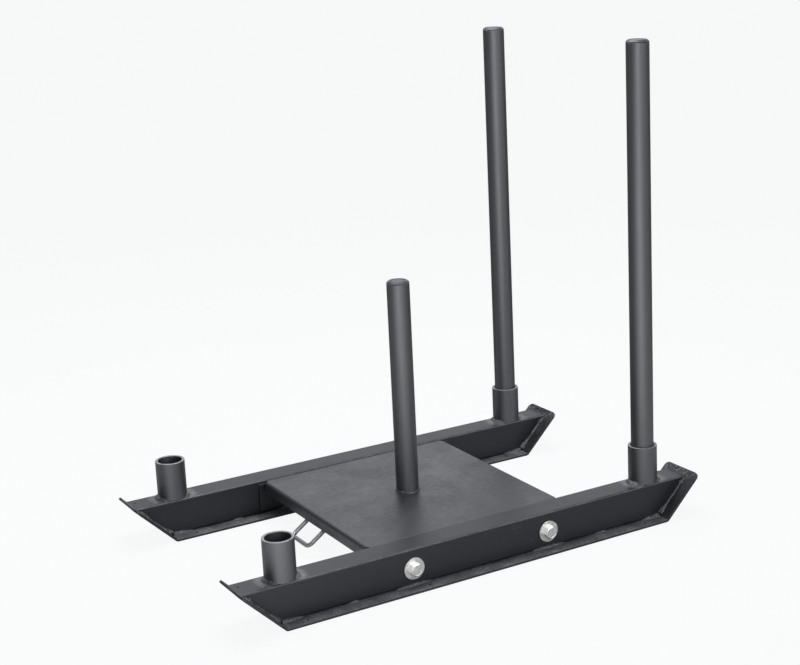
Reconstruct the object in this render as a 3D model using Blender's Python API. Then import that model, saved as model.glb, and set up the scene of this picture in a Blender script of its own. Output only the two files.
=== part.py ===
"""Weight sled for pushing and towing.

Two mitred box-section rails stand on bent ski plates. A folded deck with a weight post is bolted
between them, and a push pole lifts out of each rear socket. The front sockets take the same poles.

Frame: origin on the floor under the middle of the sled, +X to the rear (the poles), +Y to the right
rail as the pusher sees it, +Z up. Lengths are in metres.
"""
import math

import bmesh
import bpy
from mathutils import Matrix, Vector

# Driving dimensions
GAP = 0.0003                    # daylight between two pieces that touch

RAIL_CENTRE_Y = 0.269           # each rail's centreline from the middle of the sled
RAIL_WIDTH = 0.060
RAIL_HEIGHT = 0.075
RAIL_WALL = 0.003
RAIL_CORNER = 0.005             # outer corner radius of the box section

SKI_THICKNESS = 0.005
SKI_WIDTH = 0.108
SKI_SHIFT_Y = -0.0075           # both skis sit off their rail's centreline, to the same side
SKI_BEND_X = 0.4465             # sharp corner of the sole, where the lip turns up
SKI_BEND_RADIUS = 0.004         # inside the bend
SKI_LIP_ANGLE = math.radians(45.0)
SKI_LIP_LENGTH = 0.1222         # up the slope, from the sharp corner to the tip
SKI_TIP_ROUND = 0.012
SKI_SCREW_HOLE = 0.005          # holes for screwing on a wear strip
SKI_SCREW_PITCH = 0.264
SKI_SCREW_ROWS = 4
SKI_SCREW_INSET = 0.016         # from the wide flange's edge

VENT_HOLE = 0.005               # drain and hanging hole in each rail and lip
VENT_SHIFT_Y = 0.008
VENT_FROM_END = 0.011
VENT_ABOVE_RAIL = 0.0035

SOCKET_X = 0.426
SOCKET_OUTER = 0.062
SOCKET_BORE = 0.051
SOCKET_HEIGHT = 0.0815
SOCKET_EDGE = 0.0009            # broken edge round the mouth

POLE_OUTER = 0.0483
POLE_WALL = 0.003
POLE_TOP_Z = 1.018
POST_TOP_Z = 0.538

PLUG_CHAMFER_R = 0.0047         # how far the plug draws in at the top
PLUG_CHAMFER_H = 0.0055
PLUG_GROOVE_OUTER = 0.0155
PLUG_GROOVE_INNER = 0.0135
PLUG_GROOVE_DEPTH = 0.0015
PLUG_SPIGOT_LENGTH = 0.018
PLUG_SPIGOT_WALL = 0.0025

DECK_HALF_LENGTH = 0.228
DECK_TOP_Z = 0.078
DECK_THICKNESS = 0.004
DECK_FLANGE_BOTTOM_Z = 0.053
DECK_BEND_RADIUS = 0.003        # inside the bend
DECK_CORNER_CLIP = 0.012

SIDE_PLATE_HALF_LENGTH = 0.240
SIDE_PLATE_THICKNESS = 0.005
SIDE_PLATE_BOTTOM_Z = 0.012
SIDE_PLATE_ROUND = 0.004

RIB_X = 0.075
RIB_WIDTH = 0.040
RIB_HEIGHT = 0.030
RIB_WALL = 0.003
DOUBLER_SIDE = 0.100
DOUBLER_THICKNESS = 0.006

BOLT_X = 0.158
BOLT_Z = 0.040
BOLT_SHANK = 0.016
BOLT_HOLE = 0.0172
BOLT_HEAD_FLATS = 0.027
BOLT_HEAD_HEIGHT = 0.0115
BOLT_LENGTH = 0.092
WASHER_OUTER = 0.050
WASHER_BORE = 0.0174
WASHER_THICKNESS = 0.003
NUT_FLATS = 0.024
NUT_HEIGHT = 0.0125
NUT_COLLAR = 0.0165             # height with the locking collar
HEX_CROWN = 0.95                # the round top of a hexagon, as a share of its flats
BOLT_POINT = 0.0012

TOW_ROD = 0.009
TOW_LEG_Y = 0.038
TOW_DROP_ANGLE = math.radians(35.0)
TOW_REACH = 0.045               # along the slope, from the flange's edge to the cross bar
TOW_CORNER = 0.011              # bend radius of the rod's centreline
TOW_LEG_TOP_Z = 0.0715

SOCKET_WELD_LEG = 0.008         # along the rail
SOCKET_WELD_THIN = 0.0006       # over the rail's rounded edges
POST_WELD_LEG = 0.005
WELD_SUNK = 0.001               # how far a bead bites into the plate that it is fused with
SKI_WELD_LEG = 0.007
SKI_WELD_PLACES = ((0.425, 0.052), (0.158, 0.060), (0.292, 0.030))
LIP_WELD_LENGTH = 0.022
BEAD_FULLNESS = 0.58            # middle of a bead's face, as a share of its leg; 0.5 is flat

TUBE_SIDES = 36
BOLT_SIDES = 24                 # four to each flat of a hexagon
CORNER_STEPS = 4
BEND_STEPS = 4

# Places worked out from the driving dimensions
RAIL_BOTTOM_Z = SKI_THICKNESS + GAP
RAIL_TOP_Z = RAIL_BOTTOM_Z + RAIL_HEIGHT
SEAT_Z = RAIL_TOP_Z + GAP
SOCKET_TOP_Z = SEAT_Z + SOCKET_HEIGHT
RAIL_INNER_FACE_Y = RAIL_CENTRE_Y - RAIL_WIDTH / 2
RAIL_OUTER_FACE_Y = RAIL_CENTRE_Y + RAIL_WIDTH / 2
LIP_FACE_X = SKI_BEND_X - SKI_THICKNESS / math.sin(SKI_LIP_ANGLE)   # inner face of a lip, at z = 0
MITRE_X = LIP_FACE_X - GAP / math.sin(SKI_LIP_ANGLE)
DECK_UNDERSIDE_Z = DECK_TOP_Z - DECK_THICKNESS
DECK_EDGE_Y = RAIL_INNER_FACE_Y - 2 * GAP
SIDE_PLATE_TOP_Z = DECK_UNDERSIDE_Z - GAP
SIDE_PLATE_OUTER_Y = RAIL_INNER_FACE_Y - GAP
SIDE_PLATE_INNER_Y = SIDE_PLATE_OUTER_Y - SIDE_PLATE_THICKNESS

SIDES = (("left", -1), ("right", 1))
ENDS = (("front", -1), ("rear", 1))

# Finishes: colour, roughness, metallic
POWDER_COAT = ((0.030, 0.031, 0.034, 1.0), 0.48, 0.0)
POLE_COAT = ((0.036, 0.037, 0.040, 1.0), 0.40, 0.0)
PLUG_PLASTIC = ((0.026, 0.027, 0.029, 1.0), 0.50, 0.0)
ZINC = ((0.62, 0.63, 0.64, 1.0), 0.30, 1.0)
BARE_ROD = ((0.16, 0.17, 0.17, 1.0), 0.45, 1.0)


def clear_scene():
    for old in list(bpy.data.objects):
        bpy.data.objects.remove(old, do_unlink=True)


def make_material(name, finish):
    colour, roughness, metallic = finish
    material = bpy.data.materials.new(name)
    material.use_nodes = True
    shader = material.node_tree.nodes["Principled BSDF"]
    shader.inputs["Base Color"].default_value = colour
    shader.inputs["Roughness"].default_value = roughness
    shader.inputs["Metallic"].default_value = metallic
    return material


def make_object(name, bm, finish, parent=None, origin=(0.0, 0.0, 0.0), smooth=35.0):
    """Turns world-space geometry into a named object whose origin is at the given point."""
    bmesh.ops.recalc_face_normals(bm, faces=bm.faces)
    bmesh.ops.translate(bm, verts=bm.verts, vec=-Vector(origin))
    mesh = bpy.data.meshes.new(name)
    bm.to_mesh(mesh)
    bm.free()
    mesh.shade_smooth()
    mesh.set_sharp_from_angle(angle=math.radians(smooth))
    mesh.materials.append(make_material(name, finish))
    thing = bpy.data.objects.new(name, mesh)
    thing.location = origin
    bpy.context.collection.objects.link(thing)
    if parent is not None:
        thing.parent = parent
        thing.matrix_parent_inverse = Matrix.Translation(-parent.location)
    return thing


def make_empty(name, location=(0.0, 0.0, 0.0)):
    empty = bpy.data.objects.new(name, None)
    empty.location = location
    empty.empty_display_size = 0.05
    bpy.context.collection.objects.link(empty)
    return empty


def combine(thing, bm, operation, prefix):
    """Cuts or fuses the given solids with the object, and keeps them as a hidden guide."""
    guide = make_object(prefix + thing.name, bm, POWDER_COAT)
    guide.hide_render = True
    guide.display_type = "WIRE"
    modifier = thing.modifiers.new(operation.lower(), "BOOLEAN")
    modifier.operation = operation
    modifier.solver = "EXACT"
    modifier.object = guide


def cut(thing, bm):
    combine(thing, bm, "DIFFERENCE", "cut_")


def fuse(thing, bm):
    combine(thing, bm, "UNION", "fused_")


# Shapes that many pieces share

def skin(bm, rings, closed):
    """Joins rings of points, given in order, with quads. An open run gets a flat cap at each end."""
    loops = [[bm.verts.new(point) for point in ring] for ring in rings]
    pairs = list(zip(loops, loops[1:]))
    if closed:
        pairs.append((loops[-1], loops[0]))
    for low, high in pairs:
        for i in range(len(low)):
            j = (i + 1) % len(low)
            bm.faces.new((low[i], low[j], high[j], high[i]))
    if not closed:
        bm.faces.new(loops[0][::-1])
        bm.faces.new(loops[-1])


def round_ring(radius, z, sides=TUBE_SIDES):
    turns = [2 * math.pi * i / sides for i in range(sides)]
    return [Vector((radius * math.cos(t), radius * math.sin(t), z)) for t in turns]


def hex_ring(flats, z, crown=None):
    """A hexagon drawn with the sides of a circle. A crown radius drops it along a 30 degree cone."""
    points = []
    for i in range(BOLT_SIDES):
        turn = 2 * math.pi * i / BOLT_SIDES
        from_flat = (turn % (math.pi / 3)) - math.pi / 6
        radius = flats / 2 / math.cos(from_flat)
        drop = 0.0 if crown is None else (radius - crown) * math.tan(math.radians(30))
        points.append(Vector((radius * math.cos(turn), radius * math.sin(turn), z - drop)))
    return points


def turned(bm, profile, place, sides=TUBE_SIDES, closed=True):
    """Revolves a profile of (radius, height) pairs about the Z axis of a placing matrix."""
    skin(bm, [[place @ p for p in round_ring(radius, z, sides)] for radius, z in profile], closed)


def tube_profile(outer, bore, bottom, top, edge=0.0):
    """Cross-section of a pipe, from its outer foot to its inner one. An edge breaks its top corners."""
    if edge:
        head = [(outer / 2, top - edge), (outer / 2 - edge, top), (bore / 2 + edge, top),
                (bore / 2, top - edge)]
    else:
        head = [(outer / 2, top), (bore / 2, top)]
    return [(outer / 2, bottom)] + head + [(bore / 2, bottom)]


def welded_tube(bm, profile, place, leg_along, leg_across):
    """A pipe whose foot flares into its own weld bead. The bead's leg differs along X and Y."""
    radius, bottom = profile[0]
    bead = []
    for out, up in ((1.0, 0.0), (BEAD_FULLNESS, BEAD_FULLNESS), (0.0, 1.0)):
        ring = []
        for unit in round_ring(1.0, 0.0):
            leg = leg_across + (leg_along - leg_across) * unit.x ** 2
            spread = radius + leg * out
            ring.append(place @ Vector((unit.x * spread, unit.y * spread, bottom + leg * up)))
        bead.append(ring)
    rings = [[place @ p for p in round_ring(r, z)] for r, z in profile[1:]]
    skin(bm, bead + rings, closed=True)


def rounded_section(width, height, radius):
    """Outline of a box section about its centre, as (across, up) pairs."""
    points = []
    for quarter in range(4):
        turn = quarter * math.pi / 2
        side_x = 1 if quarter in (0, 3) else -1
        side_y = 1 if quarter in (0, 1) else -1
        centre = (side_x * (width / 2 - radius), side_y * (height / 2 - radius))
        for step in range(CORNER_STEPS + 1):
            t = turn + step / CORNER_STEPS * math.pi / 2
            points.append((centre[0] + radius * math.cos(t), centre[1] + radius * math.sin(t)))
    return points


def box_section(bm, half_length, width, height, radius, wall, place, mitre=False):
    """A length of box section along local X. A mitred one follows the 45 degree lips at its ends."""
    outer = rounded_section(width, height, radius)
    inner = rounded_section(width - 2 * wall, height - 2 * wall, max(radius - wall, wall / 2))

    def ring(outline, end):
        points = []
        for across, up in outline:
            slope = (up + height / 2) / math.tan(SKI_LIP_ANGLE) if mitre else 0.0
            points.append(place @ Vector((end * (half_length + slope), across, up)))
        return points

    skin(bm, [ring(outer, -1), ring(outer, 1), ring(inner, 1), ring(inner, -1)], closed=True)


def folded_sheet(bm, corners, bend_radius, thickness, y_low, y_high, side):
    """Bends a strip along a path of sharp outer corners, given as (x, z) pairs.

    The inner face lies on the path's left for side 1 and on its right for side -1. Each bend has
    the inner radius on one face and that plus the thickness on the other. Returns the end edges
    that run through the thickness.
    """
    outer_radius = bend_radius + thickness
    path = [Vector(corner) for corner in corners]
    normals = []
    for start, end in zip(path, path[1:]):
        along = (end - start).normalized()
        normals.append(Vector((-along.y, along.x)) * side)
    stations = [(path[0], path[0] + normals[0] * thickness)]
    for corner, before, after in zip(path[1:], normals, normals[1:]):
        centre = corner + (before + after) * (outer_radius / (1 + before.dot(after)))
        for step in range(BEND_STEPS + 1):
            normal = before.slerp(after, step / BEND_STEPS)
            stations.append((centre - normal * outer_radius, centre - normal * bend_radius))
    stations.append((path[-1], path[-1] + normals[-1] * thickness))
    rings = []
    for outer, inner in stations:
        rings.append([Vector((outer.x, y_low, outer.y)), Vector((outer.x, y_high, outer.y)),
                      Vector((inner.x, y_high, inner.y)), Vector((inner.x, y_low, inner.y))])
    skin(bm, rings, closed=False)
    bm.edges.ensure_lookup_table()
    tips = (path[0].x, path[-1].x)
    edges = []
    for edge in bm.edges:
        a, b = (vert.co for vert in edge.verts)
        through = abs(a.y - b.y) < 1e-6 and abs((a - b).length - thickness) < 1e-6
        if through and min(abs(a.x - x) for x in tips) < thickness * 1.01:
            edges.append(edge)
    return edges


def round_corners(bm, edges, radius, steps):
    bmesh.ops.bevel(bm, geom=edges, offset=radius, segments=steps, profile=0.5, affect="EDGES")


def plate(bm, low, high, thin_axis, corner=0.0):
    """A flat bar between two corner points, its corners rounded about its thin axis."""
    cube = bmesh.ops.create_cube(bm, size=1.0)["verts"]
    low, high = Vector(low), Vector(high)
    for vert in cube:
        vert.co = (low + high) / 2 + Vector([vert.co[i] * (high - low)[i] for i in range(3)])
    if corner:
        edges = set()
        for vert in cube:
            for edge in vert.link_edges:
                along = edge.verts[0].co - edge.verts[1].co
                if all(abs(along[i]) < 1e-7 for i in range(3) if i != thin_axis):
                    edges.add(edge)
        round_corners(bm, list(edges), corner, CORNER_STEPS)


def bar_between(bm, start, end, radius, sides):
    """A round bar between two points, as a drill for making holes."""
    start, end = Vector(start), Vector(end)
    turn = (end - start).to_track_quat("Z", "Y").to_matrix().to_4x4()
    place = Matrix.Translation(start) @ turn
    length = (end - start).length
    turned(bm, [(radius, 0.0), (radius, length)], place, sides, closed=False)


def fillet_run(bm, start, end, across, up, leg):
    """A straight weld bead in the corner between two faces, thinning out at both ends.

    It is sunk a little into the face that it lies on, so that it fuses with that plate.
    """
    along = end - start
    sunk = up * -WELD_SUNK
    rings = []
    for place, size in ((0.0, 0.35), (0.12, 0.85), (0.3, 1.0), (0.7, 1.0), (0.88, 0.85), (1.0, 0.35)):
        root = start + along * place
        reach = leg * size
        rings.append([root + sunk, root + across * reach + sunk, root + across * reach,
                      root + (across + up) * reach * BEAD_FULLNESS, root + up * reach])
    skin(bm, rings, closed=False)


# The rails, their skis and their sockets

def rail_place(side):
    return Matrix.Translation((0.0, side * RAIL_CENTRE_Y, RAIL_BOTTOM_Z + RAIL_HEIGHT / 2))


def make_rail(label, side, frame):
    bm = bmesh.new()
    half_length = MITRE_X + RAIL_BOTTOM_Z / math.tan(SKI_LIP_ANGLE)
    box_section(bm, half_length, RAIL_WIDTH, RAIL_HEIGHT, RAIL_CORNER, RAIL_WALL,
                rail_place(side), mitre=True)
    rail = make_object(label + "_rail_tube", bm, POWDER_COAT, frame)
    drill = bmesh.new()
    reach = RAIL_WIDTH / 2 + 0.01
    y = side * RAIL_CENTRE_Y
    for x in (-BOLT_X, BOLT_X):
        bar_between(drill, (x, y - reach, BOLT_Z), (x, y + reach, BOLT_Z), BOLT_HOLE / 2, BOLT_SIDES)
    vent_x = -(MITRE_X + RAIL_TOP_Z / math.tan(SKI_LIP_ANGLE) - VENT_FROM_END)
    vent_y = y + VENT_SHIFT_Y
    bar_between(drill, (vent_x, vent_y, RAIL_TOP_Z - 2 * RAIL_WALL), (vent_x, vent_y, RAIL_TOP_Z + 0.01),
                VENT_HOLE / 2, 12)
    cut(rail, drill)


def make_ski(label, side, frame):
    bm = bmesh.new()
    centre_y = side * RAIL_CENTRE_Y + SKI_SHIFT_Y
    lip_x = SKI_LIP_LENGTH * math.cos(SKI_LIP_ANGLE)
    lip_z = SKI_LIP_LENGTH * math.sin(SKI_LIP_ANGLE)
    corners = ((-SKI_BEND_X - lip_x, lip_z), (-SKI_BEND_X, 0.0), (SKI_BEND_X, 0.0),
               (SKI_BEND_X + lip_x, lip_z))
    tips = folded_sheet(bm, corners, SKI_BEND_RADIUS, SKI_THICKNESS,
                        centre_y - SKI_WIDTH / 2, centre_y + SKI_WIDTH / 2, 1)
    round_corners(bm, tips, SKI_TIP_ROUND, 5)
    ski = make_object(label + "_ski_plate", bm, POWDER_COAT, frame)
    fuse(ski, ski_welds(side))
    drill = bmesh.new()
    screw_y = centre_y - SKI_WIDTH / 2 + SKI_SCREW_INSET
    for row in range(SKI_SCREW_ROWS):
        x = (row - (SKI_SCREW_ROWS - 1) / 2) * SKI_SCREW_PITCH
        bar_between(drill, (x, screw_y, -0.005), (x, screw_y, 0.015), SKI_SCREW_HOLE / 2, 12)
    through = Vector((math.sin(SKI_LIP_ANGLE), 0.0, -math.cos(SKI_LIP_ANGLE)))
    vent_z = RAIL_TOP_Z + VENT_ABOVE_RAIL
    vent = Vector((LIP_FACE_X + vent_z, side * RAIL_CENTRE_Y + VENT_SHIFT_Y, vent_z))
    bar_between(drill, vent - through * 0.01, vent + through * 0.02, VENT_HOLE / 2, 12)
    cut(ski, drill)


def ski_welds(side):
    """Stitches where the rail's two lower edges stand on the ski, and at the tops of its mitres."""
    bm = bmesh.new()
    up = Vector((0.0, 0.0, 1.0))
    for flank in (-1, 1):
        across = Vector((0.0, flank, 0.0))
        face_y = side * RAIL_CENTRE_Y + flank * (RAIL_WIDTH / 2 + GAP)
        for _, end in ENDS:
            for centre_x, length in SKI_WELD_PLACES:
                centre = Vector((end * centre_x, face_y, SKI_THICKNESS))
                half = Vector((length / 2, 0.0, 0.0))
                fillet_run(bm, centre - half, centre + half, across, up, SKI_WELD_LEG)
            top_z = RAIL_TOP_Z - RAIL_CORNER
            top = Vector((end * (LIP_FACE_X + top_z), face_y, top_z))
            up_lip = Vector((end * math.cos(SKI_LIP_ANGLE), 0.0, math.sin(SKI_LIP_ANGLE)))
            off_lip = Vector((-end * math.sin(SKI_LIP_ANGLE), 0.0, math.cos(SKI_LIP_ANGLE)))
            fillet_run(bm, top - up_lip * LIP_WELD_LENGTH, top, across, off_lip, SKI_WELD_LEG)
    return bm


def make_socket(label, side, end_label, end, frame):
    """A pipe stub as wide as the rail, so that its bead is full only before and behind it."""
    bm = bmesh.new()
    place = Matrix.Translation((end * SOCKET_X, side * RAIL_CENTRE_Y, 0.0))
    profile = tube_profile(SOCKET_OUTER, SOCKET_BORE, SEAT_Z, SOCKET_TOP_Z, SOCKET_EDGE)
    welded_tube(bm, profile, place, SOCKET_WELD_LEG, SOCKET_WELD_THIN)
    make_object(f"{label}_{end_label}_socket", bm, POLE_COAT, frame)


# Poles, post and their end plugs

def plug_rings(tube_top):
    """Profile of an end plug: a hollow spigot in the bore, a chamfered head and a shallow groove."""
    outer = POLE_OUTER / 2
    bore = outer - POLE_WALL - GAP
    seat = tube_top + GAP
    top = seat + PLUG_CHAMFER_H
    foot = seat - PLUG_SPIGOT_LENGTH
    return [(bore - PLUG_SPIGOT_WALL, seat), (bore - PLUG_SPIGOT_WALL, foot), (bore, foot),
            (bore, seat), (outer, seat), (outer - PLUG_CHAMFER_R * 0.38, seat + PLUG_CHAMFER_H * 0.62),
            (outer - PLUG_CHAMFER_R, top), (PLUG_GROOVE_OUTER, top),
            (PLUG_GROOVE_OUTER - 0.0006, top - PLUG_GROOVE_DEPTH),
            (PLUG_GROOVE_INNER + 0.0006, top - PLUG_GROOVE_DEPTH), (PLUG_GROOVE_INNER, top - 0.0004)]


def make_tube(name, foot, top_z, frame):
    bm = bmesh.new()
    place = Matrix.Translation((foot.x, foot.y, 0.0))
    tube_top = top_z - PLUG_CHAMFER_H - GAP
    turned(bm, tube_profile(POLE_OUTER, POLE_OUTER - 2 * POLE_WALL, foot.z, tube_top), place)
    make_object(name, bm, POLE_COAT, frame, origin=foot)


def make_plug(name, foot, top_z, frame):
    bm = bmesh.new()
    place = Matrix.Translation((foot.x, foot.y, 0.0))
    tube_top = top_z - PLUG_CHAMFER_H - GAP
    turned(bm, plug_rings(tube_top), place, closed=False)
    make_object(name, bm, PLUG_PLASTIC, frame, origin=foot)


def make_pole(label, side):
    foot = Vector((SOCKET_X, side * RAIL_CENTRE_Y, SEAT_Z))
    lift = make_empty(label + "_pole_lift", foot)
    make_tube(label + "_push_pole", foot, POLE_TOP_Z, lift)
    make_plug(label + "_pole_end_plug", foot, POLE_TOP_Z, lift)


# The deck and what is welded to it

def make_deck(frame):
    bm = bmesh.new()
    corners = ((-DECK_HALF_LENGTH, DECK_FLANGE_BOTTOM_Z), (-DECK_HALF_LENGTH, DECK_TOP_Z),
               (DECK_HALF_LENGTH, DECK_TOP_Z), (DECK_HALF_LENGTH, DECK_FLANGE_BOTTOM_Z))
    folded_sheet(bm, corners, DECK_BEND_RADIUS, DECK_THICKNESS, -DECK_EDGE_Y, DECK_EDGE_Y, -1)
    deck = make_object("deck_pan", bm, POWDER_COAT, frame)
    clips = bmesh.new()
    side_length = DECK_CORNER_CLIP * math.sqrt(2)
    for x in (-DECK_HALF_LENGTH, DECK_HALF_LENGTH):
        for y in (-DECK_EDGE_Y, DECK_EDGE_Y):
            corner = Matrix.Translation((x, y, DECK_TOP_Z - 0.02)) @ Matrix.Rotation(math.pi / 4, 4, "Z")
            scale = Matrix.Diagonal((side_length, side_length, 0.06, 1.0))
            bmesh.ops.create_cube(clips, size=1.0, matrix=corner @ scale)
    cut(deck, clips)
    fuse(deck, post_weld())


def post_weld():
    """The bead round the post's foot, which is laid on the deck and sunk a little into it."""
    bm = bmesh.new()
    foot = POLE_OUTER / 2
    inside = foot + GAP
    middle = POST_WELD_LEG * BEAD_FULLNESS
    profile = [(inside, DECK_TOP_Z - WELD_SUNK), (foot + POST_WELD_LEG, DECK_TOP_Z - WELD_SUNK),
               (foot + POST_WELD_LEG, DECK_TOP_Z), (foot + middle, DECK_TOP_Z + middle),
               (inside, DECK_TOP_Z + POST_WELD_LEG)]
    turned(bm, profile, Matrix.Identity(4))
    return bm


def make_side_plate(label, side, frame):
    bm = bmesh.new()
    near, far = sorted((side * SIDE_PLATE_INNER_Y, side * SIDE_PLATE_OUTER_Y))
    plate(bm, (-SIDE_PLATE_HALF_LENGTH, near, SIDE_PLATE_BOTTOM_Z),
          (SIDE_PLATE_HALF_LENGTH, far, SIDE_PLATE_TOP_Z), 1, SIDE_PLATE_ROUND)
    bracket = make_object(label + "_deck_side_plate", bm, POWDER_COAT, frame)
    drill = bmesh.new()
    for x in (-BOLT_X, BOLT_X):
        bar_between(drill, (x, near - 0.01, BOLT_Z), (x, far + 0.01, BOLT_Z), BOLT_HOLE / 2, BOLT_SIDES)
    cut(bracket, drill)


def make_rib(label, end, frame):
    bm = bmesh.new()
    centre_z = SIDE_PLATE_TOP_Z - RIB_HEIGHT / 2
    place = Matrix.Translation((end * RIB_X, 0.0, centre_z)) @ Matrix.Rotation(math.pi / 2, 4, "Z")
    box_section(bm, SIDE_PLATE_INNER_Y - GAP, RIB_WIDTH, RIB_HEIGHT, RIB_WALL * 1.5, RIB_WALL, place)
    make_object(label + "_deck_rib", bm, POWDER_COAT, frame)


def make_doubler(frame):
    bm = bmesh.new()
    half = DOUBLER_SIDE / 2
    plate(bm, (-half, -half, SIDE_PLATE_TOP_Z - DOUBLER_THICKNESS), (half, half, SIDE_PLATE_TOP_Z), 2,
          0.008)
    make_object("post_doubler_plate", bm, POWDER_COAT, frame)


def make_post(frame):
    foot = Vector((0.0, 0.0, DECK_TOP_Z + GAP))
    make_tube("weight_post", foot, POST_TOP_Z, frame)
    make_plug("weight_post_end_plug", foot, POST_TOP_Z, frame)


def tow_leg_profile():
    """Rod centreline in the plane of one leg, as (x, z): down behind the flange, then forward."""
    clear = TOW_ROD / 2 + GAP
    edge = Vector((-DECK_HALF_LENGTH + DECK_THICKNESS, DECK_FLANGE_BOTTOM_Z))
    turn = math.pi / 2 - TOW_DROP_ANGLE
    points = [Vector((edge.x + clear, TOW_LEG_TOP_Z - TOW_ROD / 2))]
    for step in range(BEND_STEPS + 1):
        angle = -turn * step / BEND_STEPS
        points.append(edge + clear * Vector((math.cos(angle), math.sin(angle))))
    return points


def make_tow_loop(frame):
    """One rod bent to a staple: two legs welded behind the flange and a bar slung below its edge."""
    leg = tow_leg_profile()
    slope = Vector((-math.cos(TOW_DROP_ANGLE), -math.sin(TOW_DROP_ANGLE)))
    bar = leg[-1] + slope * TOW_REACH
    path = [Vector((p.x, -TOW_LEG_Y, p.y)) for p in leg]
    corner_steps = 5
    for step in range(corner_steps + 1):
        angle = math.pi / 2 * step / corner_steps
        back = TOW_CORNER * (1 - math.sin(angle))
        y = -TOW_LEG_Y + TOW_CORNER * (1 - math.cos(angle))
        place = bar - slope * back
        path.append(Vector((place.x, y, place.y)))
    path += [Vector((p.x, -p.y, p.z)) for p in reversed(path)]
    curve = bpy.data.curves.new("tow_loop", "CURVE")
    curve.dimensions = "3D"
    curve.bevel_depth = TOW_ROD / 2
    curve.bevel_resolution = 2
    curve.use_fill_caps = True
    spline = curve.splines.new("POLY")
    spline.points.add(len(path) - 1)
    for point, place in zip(spline.points, path):
        point.co = (*place, 1.0)
    curve.materials.append(make_material("tow_loop", BARE_ROD))
    loop = bpy.data.objects.new("tow_loop", curve)
    bpy.context.collection.objects.link(loop)
    loop.parent = frame


# Fasteners through the rails and side plates

def bolt_place(side, end, from_middle):
    """Local +Z points out of the sled, away from its middle."""
    turn = Matrix.Rotation(-side * math.pi / 2, 4, "X")
    return Matrix.Translation((end * BOLT_X, side * from_middle, BOLT_Z)) @ turn


def make_bolt(name, side, end, frame):
    bm = bmesh.new()
    place = bolt_place(side, end, RAIL_OUTER_FACE_Y + WASHER_THICKNESS + 2 * GAP)
    shank = BOLT_SHANK / 2
    crown = BOLT_HEAD_FLATS / 2 * HEX_CROWN
    rings = [round_ring(shank - BOLT_POINT, -BOLT_LENGTH, BOLT_SIDES),
             round_ring(shank, -BOLT_LENGTH + BOLT_POINT, BOLT_SIDES),
             round_ring(shank, 0.0, BOLT_SIDES), hex_ring(BOLT_HEAD_FLATS, 0.0),
             hex_ring(BOLT_HEAD_FLATS, BOLT_HEAD_HEIGHT, crown),
             round_ring(crown, BOLT_HEAD_HEIGHT, BOLT_SIDES)]
    skin(bm, [[place @ p for p in ring] for ring in rings], closed=False)
    make_object(name, bm, ZINC, frame, smooth=25.0)


def make_washer(name, side, end, from_middle, frame):
    bm = bmesh.new()
    profile = tube_profile(WASHER_OUTER, WASHER_BORE, 0.0, WASHER_THICKNESS)
    turned(bm, profile, bolt_place(side, end, from_middle), 32)
    make_object(name, bm, ZINC, frame)


def make_nut(name, side, end, frame):
    bm = bmesh.new()
    place = bolt_place(side, end, SIDE_PLATE_INNER_Y - WASHER_THICKNESS - 2 * GAP)
    bore = BOLT_SHANK / 2 + GAP
    crown = NUT_FLATS / 2 * HEX_CROWN
    rings = [round_ring(bore, 0.0, BOLT_SIDES), hex_ring(NUT_FLATS, 0.0),
             hex_ring(NUT_FLATS, -NUT_HEIGHT), round_ring(crown, -NUT_HEIGHT, BOLT_SIDES),
             round_ring(crown - BOLT_POINT, -NUT_COLLAR, BOLT_SIDES),
             round_ring(bore, -NUT_COLLAR, BOLT_SIDES)]
    skin(bm, [[place @ p for p in ring] for ring in rings], closed=True)
    make_object(name, bm, ZINC, frame, smooth=25.0)


def make_fasteners(label, side, end_label, end, frame):
    """One bolt through a rail and its side plate, with a wide washer under each end."""
    name = f"{label}_{end_label}_"
    make_bolt(name + "bolt", side, end, frame)
    make_washer(name + "outer_washer", side, end, RAIL_OUTER_FACE_Y + GAP, frame)
    make_washer(name + "inner_washer", side, end, SIDE_PLATE_INNER_Y - GAP - WASHER_THICKNESS, frame)
    make_nut(name + "lock_nut", side, end, frame)


def build_sled():
    clear_scene()
    frame = make_empty("sled_frame")
    for label, side in SIDES:
        make_rail(label, side, frame)
        make_ski(label, side, frame)
        make_side_plate(label, side, frame)
        make_pole(label, side)
        for end_label, end in ENDS:
            make_socket(label, side, end_label, end, frame)
            make_fasteners(label, side, end_label, end, frame)
    make_deck(frame)
    for end_label, end in ENDS:
        make_rib(end_label, end, frame)
    make_doubler(frame)
    make_post(frame)
    make_tow_loop(frame)


build_sled()
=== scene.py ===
# %% [markdown]
# A weight sled is welded from box section, bent plate and pipe, powder coated, and bolted together
# with zinc-plated bolts. Its solids come ready made from the CAD frame, at their real size and place.
# This lesson puts a finished piece over each of them: smooth tubes, broken edges, real weld beads and
# coatings. The first cell loads the frame and keeps its box.

# %% Load the frame
import math

import bmesh
import bpy
from mathutils import Matrix, Vector, noise


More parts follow.
